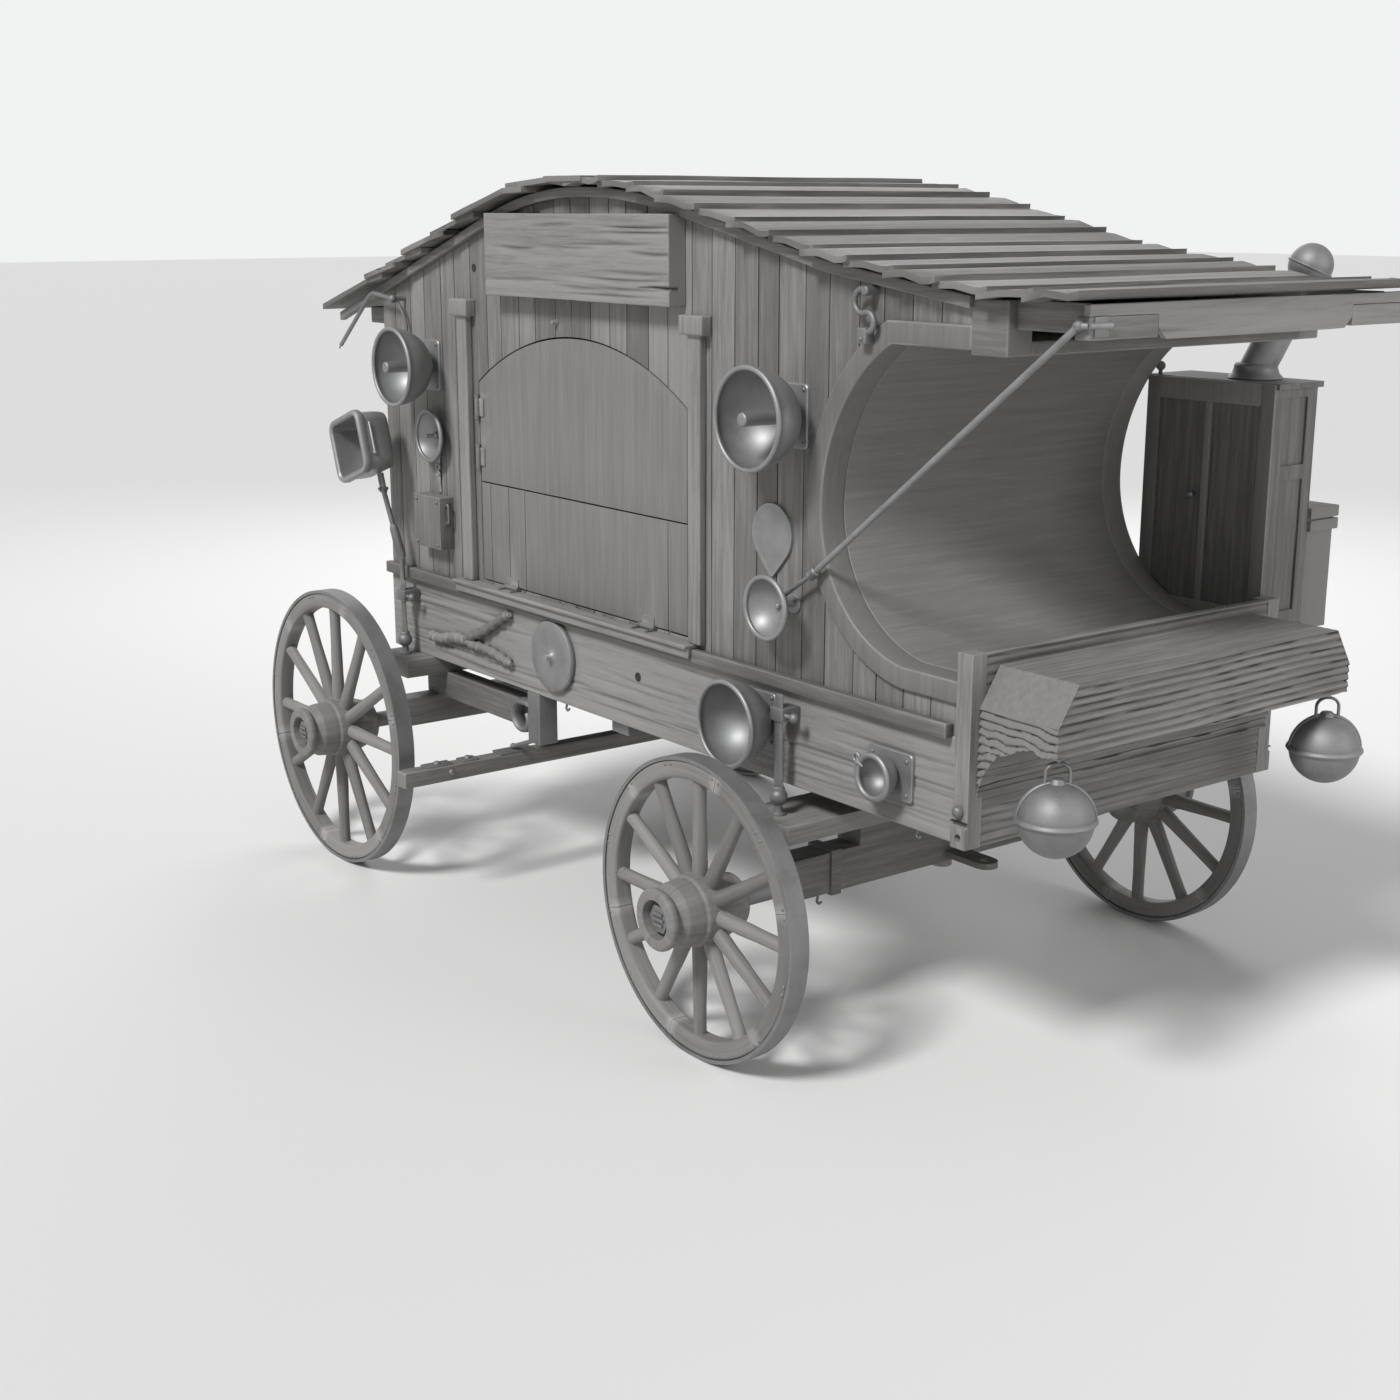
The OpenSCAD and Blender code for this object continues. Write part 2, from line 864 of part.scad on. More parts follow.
// Iron strut from the canopy corner down to the wall
module canopy_strut() {
  top = [strut_top_x, -strut_y, strut_top_z];
  mid = [strut_mid_x, -strut_y, strut_mid_z];
  low = [strut_low_x, -strut_y, strut_low_z];
  along = (mid - top) / norm(mid - top);
  color(iron_c) {
    bar(top, mid, strut_r);
    bar(mid, low, strut_thin_r);
    bar(mid - along * strut_collar_l / 2, mid + along * strut_collar_l / 2, strut_collar_r);
    translate(top) sphere(r = strut_r * knuckle_share);
    bar(top, [strut_top_x, -fascia_y, strut_top_z], strut_r);
    bar(low, [strut_low_x, -wall_y, strut_low_z], strut_thin_r);
    translate(low) sphere(r = strut_thin_r * knuckle_share);
  }
}

// One lapped and cupped roof board from its uphill edge to its downhill edge, ragged at both ends
module roof_board(x_up, x_down, i) {
  u = [x_up, roof_z(x_up)];
  d = [x_down, roof_z(x_down) + board_t - board_bite];
  t = (d - u) / norm(d - u);
  e = d + t * board_lap;
  n = t[0] > 0 ? [-t[1], t[0]] : [t[1], -t[0]];
  cup = board_cup * lift_shares[i % len(lift_shares)];
  under = [for (c = cup_shares) u + (e - u) * c[0] + n * cup * c[1]];
  over = [for (k = [len(under) - 1:-1:0]) under[k] + n * board_t];
  along_y(-board_half(i), board_half(i + 4)) polygon(concat(under, over));
}

// One kinked rear board: its flat part under the board above, then down to its lower edge
module rear_board(x_up, x_down, i) {
  under = [
    [min(x_up + rear_under, crest_x), roof_z(min(x_up + rear_under, crest_x))],
    [min(x_up, crest_x - rear_under), roof_z(min(x_up, crest_x - rear_under)) + rear_kink],
    [x_down, roof_z(x_down) + rear_kink + board_t - board_bite]
  ];
  over = [for (k = [len(under) - 1:-1:0]) under[k] + [0, board_t]];
  along_y(-board_half(i), board_half(i + 4)) polygon(concat(under, over));
}

// Length of a board's half, ragged from board to board
function board_half(i) = roof_w / 2 - ragged * ragged_shares[i % len(ragged_shares)];

// Lapped boards across the roof, with a ridge board over the crest
module roof_boards() {
  front_l = roof_end_x - board_lap / 2 - crest_x;
  rear_l = crest_x + roof_end_x;
  front_n = round(front_l / board_pitch);
  color(dark_wood_c) intersection() {
    union() {
      for (i = [0:front_n - 1])
        roof_board(crest_x + front_l * i / front_n, crest_x + front_l * (i + 1) / front_n, i);
      for (i = [0:len(rear_lip_shares) - 2])
        rear_board(crest_x - rear_l * rear_lip_shares[i], crest_x - rear_l * rear_lip_shares[i + 1], i + 2);
      block(crest_x - ridge_half_w, crest_x + ridge_half_w, -roof_w / 2, roof_w / 2,
        crest_z + board_t - board_bite, crest_z + 2 * board_t - board_bite);
    }
    block(-roof_end_x, roof_end_x, -roof_w, roof_w, sill_z, 2 * crest_z);
  }
}

// Outline of a roof stringer, from above the roof line to a depth under it
module stringer_outline(above, depth) {
  xs = roof_breaks(stringer_rear_x - roof_end_x, cab_front_x);
  n = len(xs);
  polygon(concat(
    [for (x = xs) [x, roof_z(x) + above]],
    [for (i = [n - 1:-1:0]) [xs[i], roof_z(xs[i]) - depth]]
  ));
}

// Arched stringers along both wall tops that carry the boards
module roof_stringers() {
  color(wood_c) both_sides() along_y(-wall_y - stringer_t, -wall_y) stringer_outline(-seat, stringer_h);
}

// Stepped corbels under the rear eave
module rear_corbels() {
  top = roof_z(body_rear_x - corbel_l) - seat;
  color(wood_c) both_sides() {
    block(body_rear_x - corbel_l, body_rear_x, -corbel_y, -corbel_y + corbel_w, top - corbel_h / 2, top);
    block(body_rear_x - corbel_l / 2, body_rear_x, -corbel_y, -corbel_y + corbel_w, top - corbel_h, top);
  }
}

// Posts beside the serving hatch with their cap blocks
module hatch_posts() {
  color(wood_c) for (s = [-1, 1]) {
    x = hatch_x + s * (hatch_w / 2 + hatch_post_gap + hatch_post_w / 2);
    block(x - hatch_post_w / 2, x + hatch_post_w / 2, -wall_y - hatch_post_t, -wall_y,
      counter_z, counter_z + hatch_post_h);
    block(x - hatch_post_w / 2 - post_cap_proud, x + hatch_post_w / 2 + post_cap_proud,
      -wall_y - hatch_post_t - post_cap_proud / 2, -wall_y,
      counter_z + hatch_post_h, counter_z + hatch_post_h + post_cap_h);
  }
}

// Counter rail with two lips under the serving hatch
module counter_rail() {
  x0 = counter_x - counter_l / 2;
  color(wood_c) {
    block(x0, x0 + counter_l, -counter_y, -rail_y, counter_z - counter_lip, counter_z);
    block(x0, x0 + counter_l, -counter_y + counter_lip, -rail_y, counter_z - counter_h, counter_z);
    block(x0, x0 + counter_l, -rail_y, -wall_y, rail_top, counter_z);
  }
}

// Lower leaf of the hatch, which drops to make a counter
module hatch_lower() {
  color(dark_wood_c) {
    difference() {
      block(hatch_x - hatch_w / 2, hatch_x + hatch_w / 2, -leaf_y, -leaf_y + leaf_t, hatch_z, split_z);
      for (share = leaf_groove_shares)
        translate([hatch_x + hatch_w * (share - 1 / 2), 0, 0])
          block(-groove_w / 2, groove_w / 2, -leaf_y - overrun, -leaf_y + groove_d,
            hatch_z - overrun, split_z + overrun);
    }
    at_lower_hinges() rotate([0, -90, 0]) hinge_moving();
  }
}

// Arched upper leaf of the hatch, which swings on its rear edge
module hatch_upper() {
  color(dark_wood_c) {
    along_y(-leaf_y, -leaf_y + leaf_t) arch_outline(0);
    at_upper_hinges() hinge_moving();
  }
}

// Hinge pins of the leaves and the door, with their plates
module hinge_pins() {
  color(iron_c) {
    at_upper_hinges() hinge_fixed();
    at_lower_hinges() rotate([-90, 0, 0]) rotate([0, -90, 0]) hinge_fixed();
    at_door_hinges() hinge_fixed();
  }
}

// Blank sign board above the hatch
module sign_board() {
  color(wood_c) difference() {
    block(sign_x - sign_w / 2, sign_x + sign_w / 2, -wall_y - sign_t, -wall_y, sign_z, sign_z + sign_h);
    along_y(-wall_y - stringer_t - seat, -wall_y + overrun) stringer_outline(sign_t, stringer_h + seat);
  }
}

// Open round bowl with its mouth towards +Z and its back pole at the origin
module open_bowl(r, collar) {
  difference() {
    union() {
      translate([0, 0, r]) sphere(r = r);
      translate([0, 0, r]) cylinder(r = r, h = collar);
    }
    translate([0, 0, r + collar]) cylinder(r = r + overrun, h = r);
    translate([0, 0, r]) sphere(r = r - shell_t);
    translate([0, 0, r]) cylinder(r = r - shell_t, h = collar + overrun);
  }
  translate([0, 0, r + collar])
    rotate_extrude() translate([r - shell_t / 2, 0]) circle(r = rim_r, $fn = 24);
}

// Shallow round dish cut from a sphere, with its mouth towards +Z
module shallow_dish(r, h) {
  ball = (r * r + h * h) / (2 * h);
  difference() {
    translate([0, 0, ball]) sphere(r = ball);
    translate([0, 0, ball]) sphere(r = ball - shell_t);
    translate([0, 0, h]) cylinder(r = ball + overrun, h = 2 * ball);
  }
  translate([0, 0, h]) rotate_extrude() translate([r - shell_t / 2, 0]) circle(r = rim_r, $fn = 24);
}

// Bowl lamp with a candle bulb on a wall plate
module bowl_lamp(d) {
  translate([-lamp_plate_w / 2, -lamp_plate_h / 2, 0]) cube([lamp_plate_w, lamp_plate_h, lamp_plate_t]);
  cylinder(r = bulb_r, h = lamp_plate_t + lamp_stand + shell_t);
  translate([0, 0, lamp_plate_t + lamp_stand]) {
    open_bowl(d / 2, lamp_collar);
    translate([0, 0, shell_t / 2]) cylinder(r = bulb_r, h = bulb_l);
    translate([0, 0, shell_t / 2 + bulb_l]) sphere(r = bulb_r);
  }
}

module lamp_front() {
  color(tin_c) on_right_wall(front_lamp_x, wall_y, front_lamp_z) bowl_lamp(front_lamp_d);
}

module lamp_rear() {
  color(tin_c) on_right_wall(rear_lamp_x, wall_y, rear_lamp_z) bowl_lamp(rear_lamp_d);
}

// Small dish lamp on a stem, with its hook plate
module dish_lamp() {
  color(tin_c) on_right_wall(dish_x, wall_y, dish_z) {
    shallow_dish(dish_d / 2, dish_h);
    cylinder(r = dish_stem_r, h = dish_h);
    translate([-dish_plate_w / 2, -dish_plate_drop - dish_plate_h / 2, 0])
      cube([dish_plate_w, dish_plate_h + dish_plate_drop / 2, dish_plate_t]);
  }
}

// Box on the wall under the dish lamp
module wall_box() {
  color(wood_c) block(box_x - box_w / 2, box_x + box_w / 2, -wall_y - box_d, -wall_y, box_z, box_z + box_h);
}

// Flat drop-shaped plate, point down
module drop_plate() {
  color(tin_c) on_right_wall(drop_x, wall_y, drop_z) hull() {
    cylinder(r = drop_r, h = drop_t, $fn = 32);
    translate([0, -drop_low, 0]) cylinder(r = drop_tip_r, h = drop_t, $fn = 32);
  }
}

// Shallow bowl that hangs on a stem ahead of the strut's foot
module small_bowl() {
  color(tin_c) on_right_wall(small_bowl_x, wall_y, small_bowl_z) {
    translate([0, 0, small_bowl_stand]) shallow_dish(small_bowl_d / 2, small_bowl_h);
    cylinder(r = dish_stem_r, h = small_bowl_stand + shell_t / 2);
  }
}

// Deep bowl on a plate at the sill
module big_bowl() {
  color(tin_c) on_right_wall(big_bowl_x, sill_y, big_bowl_z) {
    translate([-big_plate_w / 2, -big_plate_h / 2, 0]) cube([big_plate_w, big_plate_h, lamp_plate_t]);
    cylinder(r = bulb_r, h = lamp_plate_t + lamp_stand);
    translate([0, 0, lamp_plate_t]) open_bowl(big_bowl_d / 2, lamp_collar);
  }
}

// Round mug with an ear on its riveted plate
module mug() {
  mouth = lamp_plate_t - mug_sunk + mug_d / 2 + mug_collar;
  color(tin_c) on_right_wall(mug_x, sill_y, mug_z) {
    translate([-mug_plate_w / 2, -mug_plate_h / 2, 0]) cube([mug_plate_w, mug_plate_h, lamp_plate_t]);
    translate([0, 0, lamp_plate_t - mug_sunk]) open_bowl(mug_d / 2, mug_collar);
    rotate([0, 0, mug_ear_turn]) translate([mug_d / 2 + mug_ear_r, 0, mouth - mug_ear_t]) difference() {
      cylinder(r = mug_ear_r, h = mug_ear_t);
      translate([0, 0, -overrun]) cylinder(r = mug_ear_bore_r, h = mug_ear_t + 2 * overrun);
    }
  }
}

// Round lid with a small boss
module disc_lid() {
  color(tin_c) on_right_wall(disc_x, sill_y, disc_z) {
    cylinder(r = disc_d / 2, h = disc_t);
    cylinder(r = disc_boss_r, h = disc_t + disc_boss_l);
  }
}

// Forked branch fixed along the sill board
module branch() {
  y = -sill_y - branch_r;
  fork = [branch_x, y, branch_z];
  color(wood_c) {
    bar(fork - [branch_stem, 0, branch_drop], fork, branch_r);
    bar(fork, fork + [branch_fork, 0, branch_rise], branch_r);
    bar(fork, fork + [branch_fork, 0, -branch_drop], branch_r);
    translate(fork) sphere(r = branch_r);
  }
}

// A square with round corners, centred
module round_square(w, h, r) {
  square([w - 2 * r, h], center = true);
  square([w, h - 2 * r], center = true);
  for (x = [r - w / 2, w / 2 - r], y = [r - h / 2, h / 2 - r]) translate([x, y]) circle(r = r);
}

// Square hooded lantern with round corners at the rear corner, open on its outer face
module lantern() {
  w = lantern_w - 2 * lantern_rim_proud;
  h = lantern_h - 2 * lantern_rim_proud;
  color(tin_c) on_right_wall(lantern_x, lantern_face_y - lantern_d, lantern_mid_z)
    rotate([0, 0, lantern_turn]) difference() {
    union() {
      linear_extrude(height = lantern_d) round_square(w, h, lantern_corner_r);
      translate([0, 0, lantern_d - lantern_rim])
        linear_extrude(height = lantern_rim) round_square(lantern_w, lantern_h, lantern_corner_r);
    }
    translate([0, 0, lantern_t]) linear_extrude(height = lantern_d)
      round_square(w - 2 * lantern_t, h - 2 * lantern_t, lantern_corner_r - lantern_t);
  }
}

// One ball stay from the sill rail down to a bolster plank
module stay(x, plank_top) {
  ball_z = plank_top + stay_ball_rise;
  top_z = rail_z - seat;
  clamp_z = top_z - stay_top_drop - stay_clamp_h;
  knob_z = clamp_z + stay_clamp_h / 2;
  translate([x, -stay_y, ball_z]) sphere(r = stay_ball_r);
  translate([x, -stay_y, plank_top]) cylinder(r = stay_pin_r, h = stay_ball_rise);
  block(x - stay_blade_w / 2, x + stay_blade_w / 2, -stay_y - stay_blade_t / 2, -stay_y + stay_blade_t / 2,
    ball_z, top_z);
  block(x - stay_clamp_w / 2, x + stay_clamp_w / 2, -stay_y - stay_blade_t, -sill_y,
    clamp_z, clamp_z + stay_clamp_h);
  bar([x, -stay_y, knob_z], [x + stay_knob_reach, -stay_y, knob_z], stay_pin_r / 2);
  translate([x + stay_knob_reach, -stay_y, knob_z]) sphere(r = stay_knob_r);
}

// Ball stays at all four corners, with the lantern's rod on the right rear one
module stays() {
  bend = [rear_axle_x, -stay_y, rail_top + stay_top_drop];
  down = [sin(lantern_turn), 0, -cos(lantern_turn)];
  under = [lantern_x, lantern_d - lantern_rod_in - lantern_face_y, lantern_mid_z]
    + down * (lantern_h / 2 - lantern_rim_proud);
  foot = under + down * lantern_fork_l;
  along = (foot - bend) / norm(foot - bend);
  color(iron_c) {
    both_sides() {
      stay(front_axle_x, front_plank_top);
      stay(rear_axle_x, sill_z);
    }
    bar([rear_axle_x, -stay_y, rail_z - stay_top_drop / 2], bend, lantern_rod_r);
    bar(bend, bend + along * lantern_socket_l, lantern_socket_r);
    bar(bend, foot, lantern_rod_r);
    bar(foot, under, lantern_fork_r);
  }
}

// Points of one arc of the hook, at a distance from its centre
function hook_arc(centre, r, from, turn) =
  [for (i = [0:hook_bends]) let (a = from + turn * i / hook_bends) centre + r * [cos(a), sin(a)]];

// S-shaped flat iron hook on a button under the roof stringer, down to a plate on the cab frame
module roof_hook() {
  lift = wall_y + stringer_t + hook_rod_r + seat;
  low = hook_lean - hook_sweep;
  high_turn = hook_end - hook_lean - 180;
  upper = (hook_lower_r + hook_upper_r) * [cos(hook_lean), sin(hook_lean)];
  end = upper + hook_upper_r * [cos(hook_end), sin(hook_end)];
  foot = hook_lower_r * [cos(low), sin(low)];
  one = concat(
    hook_arc([0, 0], hook_lower_r + hook_rod_r, low, hook_sweep),
    hook_arc(upper, hook_upper_r - hook_rod_r, hook_lean + 180, high_turn)
  );
  other = concat(
    hook_arc([0, 0], hook_lower_r - hook_rod_r, low, hook_sweep),
    hook_arc(upper, hook_upper_r + hook_rod_r, hook_lean + 180, high_turn)
  );
  color(iron_c) on_right_wall(hook_x, lift, hook_z + hook_lower_r) {
    translate([0, 0, -hook_rod_r]) linear_extrude(height = 2 * hook_rod_r)
      polygon(concat(one, [for (k = [len(other) - 1:-1:0]) other[k]]));
    translate([end[0], end[1], wall_y - lift])
      cylinder(r = hook_button_r, h = lift - wall_y + hook_button_t / 2);
    translate([foot[0] - hook_plate_w / 2, foot[1] - hook_plate_w, frame_y - lift])
      cube([hook_plate_w, hook_plate_w + hook_rod_r, lift - frame_y + hook_button_t / 2]);
  }
}

// Bent rod hung at the rear eave
module rear_rod() {
  a = [rear_rod_x, -rear_rod_y, rear_rod_z];
  b = [rear_rod_top_x, -rear_rod_y, roof_z(rear_rod_top_x) - rear_rod_drop];
  c = [rear_rod_wall_x, -rear_rod_y, b[2] - rear_rod_drop];
  color(iron_c) {
    bar(a, b, rear_rod_r);
    bar(b, c, rear_rod_r);
    bar(c, [rear_rod_wall_x, -wall_y, c[2]], rear_rod_r);
    for (p = [b, c]) translate(p) sphere(r = rear_rod_r * knuckle_share);
  }
}

// Tall cabinet hung outside the left-hand cab opening
module cabinet() {
  y0 = frame_y + seat;
  x1 = cabinet_x + cabinet_l;
  mid = cabinet_x + cabinet_l / 2;
  color(dark_wood_c) difference() {
    union() {
      block(cabinet_x, x1, y0, y0 + cabinet_d, cabinet_z, cabinet_z + cabinet_h);
      block(cabinet_x - cabinet_cornice, x1 + cabinet_cornice, y0, y0 + cabinet_d + cabinet_cornice,
        cabinet_z + cabinet_h - cabinet_t, cabinet_z + cabinet_h);
    }
    for (x = [cabinet_x + cabinet_stile, mid + cabinet_stile / 4])
      block(x, x + (cabinet_l - 2.5 * cabinet_stile) / 2, y0 - overrun, y0 + cabinet_panel_in,
        cabinet_z + cabinet_stile, cabinet_z + cabinet_h - cabinet_stile - cabinet_t);
    for (z = [cabinet_z + cabinet_stile, cabinet_z + cabinet_h * 2 / 3])
      block(x1 - cabinet_panel_in, x1 + overrun, y0 + cabinet_stile, y0 + cabinet_d - cabinet_stile,
        z, (z < cabinet_z + cabinet_h / 2 ? cabinet_z + cabinet_h * 2 / 3 : cabinet_z + cabinet_h)
          - cabinet_stile);
  }
  color(iron_c) translate([cabinet_x + cabinet_stile / 2, y0 + cabinet_stile / 2, cabinet_z + cabinet_h]) {
    cylinder(r = cabinet_knob_r / 2, h = cabinet_knob_r);
    translate([0, 0, 2 * cabinet_knob_r]) sphere(r = cabinet_knob_r * knuckle_share);
  }
}

// Lidded chest on the outside of the cabinet
module chest() {
  y0 = frame_y + seat + cabinet_d + seat;
  color(wood_c) {
    block(cabinet_x, cabinet_x + cabinet_l, y0, y0 + chest_d, chest_z, chest_z + chest_h - chest_lid_t);
    for (z = [chest_z + chest_h - chest_lid_t, chest_z + chest_h])
      block(cabinet_x - cabinet_cornice, cabinet_x + cabinet_l + cabinet_cornice,
        y0, y0 + chest_d + cabinet_cornice, z, z + chest_lid_t - chest_lid_gap);
    block(cabinet_x, cabinet_x + cabinet_l, y0, y0 + chest_d,
      chest_z + chest_h - chest_lid_gap, chest_z + chest_h);
  }
}

// Stove pipe leaning out past the left-hand eave
module stove_pipe() {
  foot = [pipe_x, pipe_y, cabinet_z + cabinet_h];
  low = foot + [0, 0, pipe_collar_h / 2];
  top = [pipe_top_x, pipe_top_y, pipe_top_z];
  color(iron_c) {
    translate(foot) cylinder(r1 = pipe_collar_r, r2 = pipe_neck_r, h = pipe_collar_h);
    towards(low, top) {
      cylinder(r = pipe_d / 2, h = norm(top - low));
      translate([0, 0, norm(top - low)]) sphere(r = pipe_cap_r);
    }
  }
}

// One round pot with a brim where its halves meet, a rib over the top, its bail and staple
module pot() {
  r = pot_d / 2;
  bail_z = r + bail_r - bail_rod_r;
  rotate([0, 0, pot_turn]) {
    sphere(r = r);
    rotate_extrude() polygon([
      [r - pot_brim, pot_brim_t], [r, pot_brim_t], [r + pot_brim, 0], [r - pot_brim, -pot_brim_t / 2]
    ]);
    rotate([90, 0, 90]) rotate_extrude() translate([r, 0]) circle(r = pot_rib_r, $fn = 24);
    translate([0, 0, bail_z]) rotate([90, 0, 0])
      rotate_extrude() translate([bail_r, 0]) circle(r = bail_rod_r, $fn = 24);
    translate([0, 0, bail_z + bail_r]) cylinder(r = bail_rod_r, h = block_low_z - pot_z - bail_z - bail_r);
  }
}

module pots() {
  color(iron_c) for (y = [-pot_y, pot_y]) translate([pot_x, y, pot_z]) pot();
}

// Pole along the middle that ties the two axles together
module reach_pole() {
  color(dark_wood_c)
    block(rear_axle_x + bolster_w / 2, front_axle_x + bolster_w / 2, -reach_w / 2, reach_w / 2,
      front_plank_top, front_plank_top + reach_h);
}

// One axle arm with its nut, out along +Y
module axle_arm(from_y, z) {
  end_y = hub_out_y - arm_end;
  translate([0, from_y, z]) rotate([-90, 0, 0]) {
    cylinder(r = arm_r, h = end_y - from_y);
    translate([0, 0, hub_out_y - hub_recess + nut_gap - from_y])
      cylinder(r = nut_r, h = nut_h, $fn = 6);
  }
}

// Fixed rear axle
module rear_axle() {
  color(dark_wood_c) translate([rear_axle_x, 0, 0]) {
    block(-rear_axle_d / 2, rear_axle_d / 2, -rear_axle_half, rear_axle_half,
      rear_axle_top - rear_axle_h, rear_axle_top);
    both_sides() axle_arm(rear_axle_half, rear_wheel_z);
  }
}

// Side beams from the rear axle forward to the brake hangers
module rear_beams() {
  color(dark_wood_c) both_sides()
    block(rear_axle_x - rear_axle_d / 2, beam_front_x, -beam_y - beam_w / 2, -beam_y + beam_w / 2,
      rear_axle_top, rear_plank_z);
}

// Bolster planks under the body, with the risers and kingpin of the front one
module bolsters() {
  pin_low = front_axle_top - axle_h - kingpin_nut_h - turn_gap;
  color(wood_c) {
    block(rear_axle_x - bolster_w / 2, rear_axle_x + bolster_w / 2, -plank_half, plank_half,
      rear_plank_z, sill_z);
    block(front_axle_x - bolster_w / 2, front_axle_x + bolster_w / 2, -plank_half, plank_half,
      front_plank_z, front_plank_top);
    both_sides()
      block(front_axle_x - bolster_w / 2, front_axle_x + bolster_w / 2,
        -riser_y - riser_w / 2, -riser_y + riser_w / 2, front_plank_top, sill_z);
    translate([front_axle_x, 0, pin_low]) cylinder(r = kingpin_d / 2, h = front_plank_z - pin_low);
    translate([front_axle_x, 0, pin_low]) cylinder(r = kingpin_nut_r, h = kingpin_nut_h);
  }
}

// Brake beam ahead of the rear wheels
module brake_beam() {
  color(wood_c)
    block(brake_x - brake_d / 2, brake_x + brake_d / 2, -brake_half, brake_half, brake_z, brake_z + brake_h);
}

// Hanger blocks, rods and scroll hook that carry the brake beam, and a cleat
module brake_hangers() {
  plate_z = brake_z + brake_h;
  rod_end = [brake_x, -hanger_y, plate_z + brake_plate_t + hanger_rod_r];
  neck = scroll_t * scroll_neck_share;
  color(iron_c) {
    both_sides() {
      block(hanger_x - hanger_w / 2, hanger_x + hanger_w / 2,
        -hanger_y - hanger_w / 2, -hanger_y + hanger_w / 2, hanger_low_z, sill_z);
      bar([hanger_x, -hanger_y, hanger_low_z + hanger_rod_r], rod_end, hanger_rod_r);
      translate(rod_end) sphere(r = hanger_rod_r * knuckle_share);
      block(brake_x - brake_d / 2, brake_x + brake_d / 2,
        -hanger_y - brake_plate_l / 2, -hanger_y + brake_plate_l / 2, plate_z, plate_z + brake_plate_t);
    }
    on_right_wall(hanger_x - hanger_w / 2 - scroll_r, beam_y + beam_w / 2 + seat, hanger_low_z + hanger_w) {
      rotate([0, 0, 90]) rotate_extrude(angle = scroll_sweep)
        translate([scroll_r - scroll_t / 2, 0]) square([scroll_t, scroll_w]);
      translate([-scroll_t / 2, scroll_r - neck / 2, (scroll_w - neck) / 2])
        cube([scroll_r + scroll_t, neck, neck]);
      rotate([0, 0, 90 + scroll_sweep]) translate([scroll_r, 0, scroll_w - neck])
        cylinder(r = scroll_tip_r, h = neck + overrun);
    }
    block(cleat_x - cleat_l / 2, cleat_x + cleat_l / 2, -sill_in_y, -sill_in_y + cleat_w,
      sill_z - cleat_h, sill_z);
  }
}

// Turning front axle with its bolster, straps and draft eye
module front_axle() {
  color(dark_wood_c) translate([front_axle_x, 0, 0]) difference() {
    union() {
      block(-axle_d / 2, axle_d / 2, -axle_half, axle_half, front_axle_top - axle_h, front_axle_top);
      block(-front_bolster_d / 2, front_bolster_d / 2, -front_bolster_half, front_bolster_half,
        front_axle_top, front_axle_top + front_bolster_h);
      both_sides() {
        axle_arm(axle_half, front_wheel_z);
        block(-axle_d / 2 - strap_t, axle_d / 2 + strap_t, -strap_y - strap_w / 2, -strap_y + strap_w / 2,
          front_axle_top - axle_h - strap_t, front_axle_top + strap_t);
      }
      translate([0, -tongue_w / 2, front_wheel_z - tongue_rise])
        cube([axle_d / 2 + tongue_l, tongue_w, tongue_t]);
      translate([axle_d / 2 + tongue_l, 0, front_wheel_z - tongue_rise])
        cylinder(r = tongue_w / 2, h = tongue_t);
    }
    translate([0, 0, front_axle_top - axle_h - overrun])
      cylinder(r = kingpin_d / 2 + pin_gap, h = axle_h + front_bolster_h + 2 * overrun);
    translate([axle_d / 2 + tongue_l, 0, front_wheel_z - tongue_rise - overrun])
      cylinder(r = draft_eye_r, h = tongue_t + 2 * overrun);
  }
}

// Half profile of the hub, out from the axle and along it from the inner end
module hub_profile() {
  r0 = arm_r + pin_gap;
  mid = hub_len - (hub_out_y - track / 2);
  polygon([
    [r0, 0], [hub_end_d / 2 - hub_bead, 0], [hub_end_d / 2, hub_bead], [hub_end_d / 2, hub_band_w],
    [hub_d / 2, mid - spoke_d], [hub_d / 2, mid + spoke_d], [hub_d / 2 - hub_bead, mid + spoke_d + hub_bead],
    [hub_barrel_d / 2, mid + 1.5 * spoke_d], [hub_barrel_d / 2 - hub_bead, hub_len - 2.5 * hub_band_w],
    [hub_neck_d / 2, hub_len - 1.4 * hub_band_w], [hub_band_d / 2 - hub_bead, hub_len - hub_band_w],
    [hub_band_d / 2, hub_len - hub_band_w + hub_bead], [hub_band_d / 2, hub_len - hub_bead],
    [hub_band_d / 2 - hub_bead, hub_len], [hub_recess_d / 2, hub_len],
    [hub_recess_d / 2, hub_len - hub_recess], [r0, hub_len - hub_recess]
  ]);
}

// Wooden wheel on the left-hand side at the origin of its axle
module wheel(d) {
  rim_out = d / 2 - tyre_t;
  rim_in = rim_out - felloe_h;
  spoke_l = rim_out - felloe_h / 2 - hub_neck_d / 2;
  translate([0, hub_in_y, 0]) rotate([-90, 0, 0]) rotate_extrude($fn = 72) hub_profile();
  translate([0, track / 2, 0]) rotate([-90, 0, 0]) {
    rotate_extrude($fn = 96) polygon([
      [rim_out, -tyre_w / 2], [rim_out, tyre_w / 2], [rim_in + felloe_chamfer, tyre_w / 2],
      [rim_in, tyre_w / 2 - felloe_chamfer], [rim_in, felloe_chamfer - tyre_w / 2],
      [rim_in + felloe_chamfer, -tyre_w / 2]
    ]);
    for (i = [0:spoke_n - 1])
      rotate([0, 0, i * 360 / spoke_n]) translate([hub_neck_d / 2, 0, 0]) rotate([0, 90, 0])
        cylinder(r1 = spoke_d / 2, r2 = spoke_d / 2 * spoke_rim_share, h = spoke_l);
  }
}

// Iron tyre shrunk on the rim
module tyre(d) {
  translate([0, track / 2, 0]) rotate([-90, 0, 0]) rotate_extrude($fn = 96)
    translate([d / 2 - tyre_t, -tyre_w / 2]) square([tyre_t, tyre_w]);
}

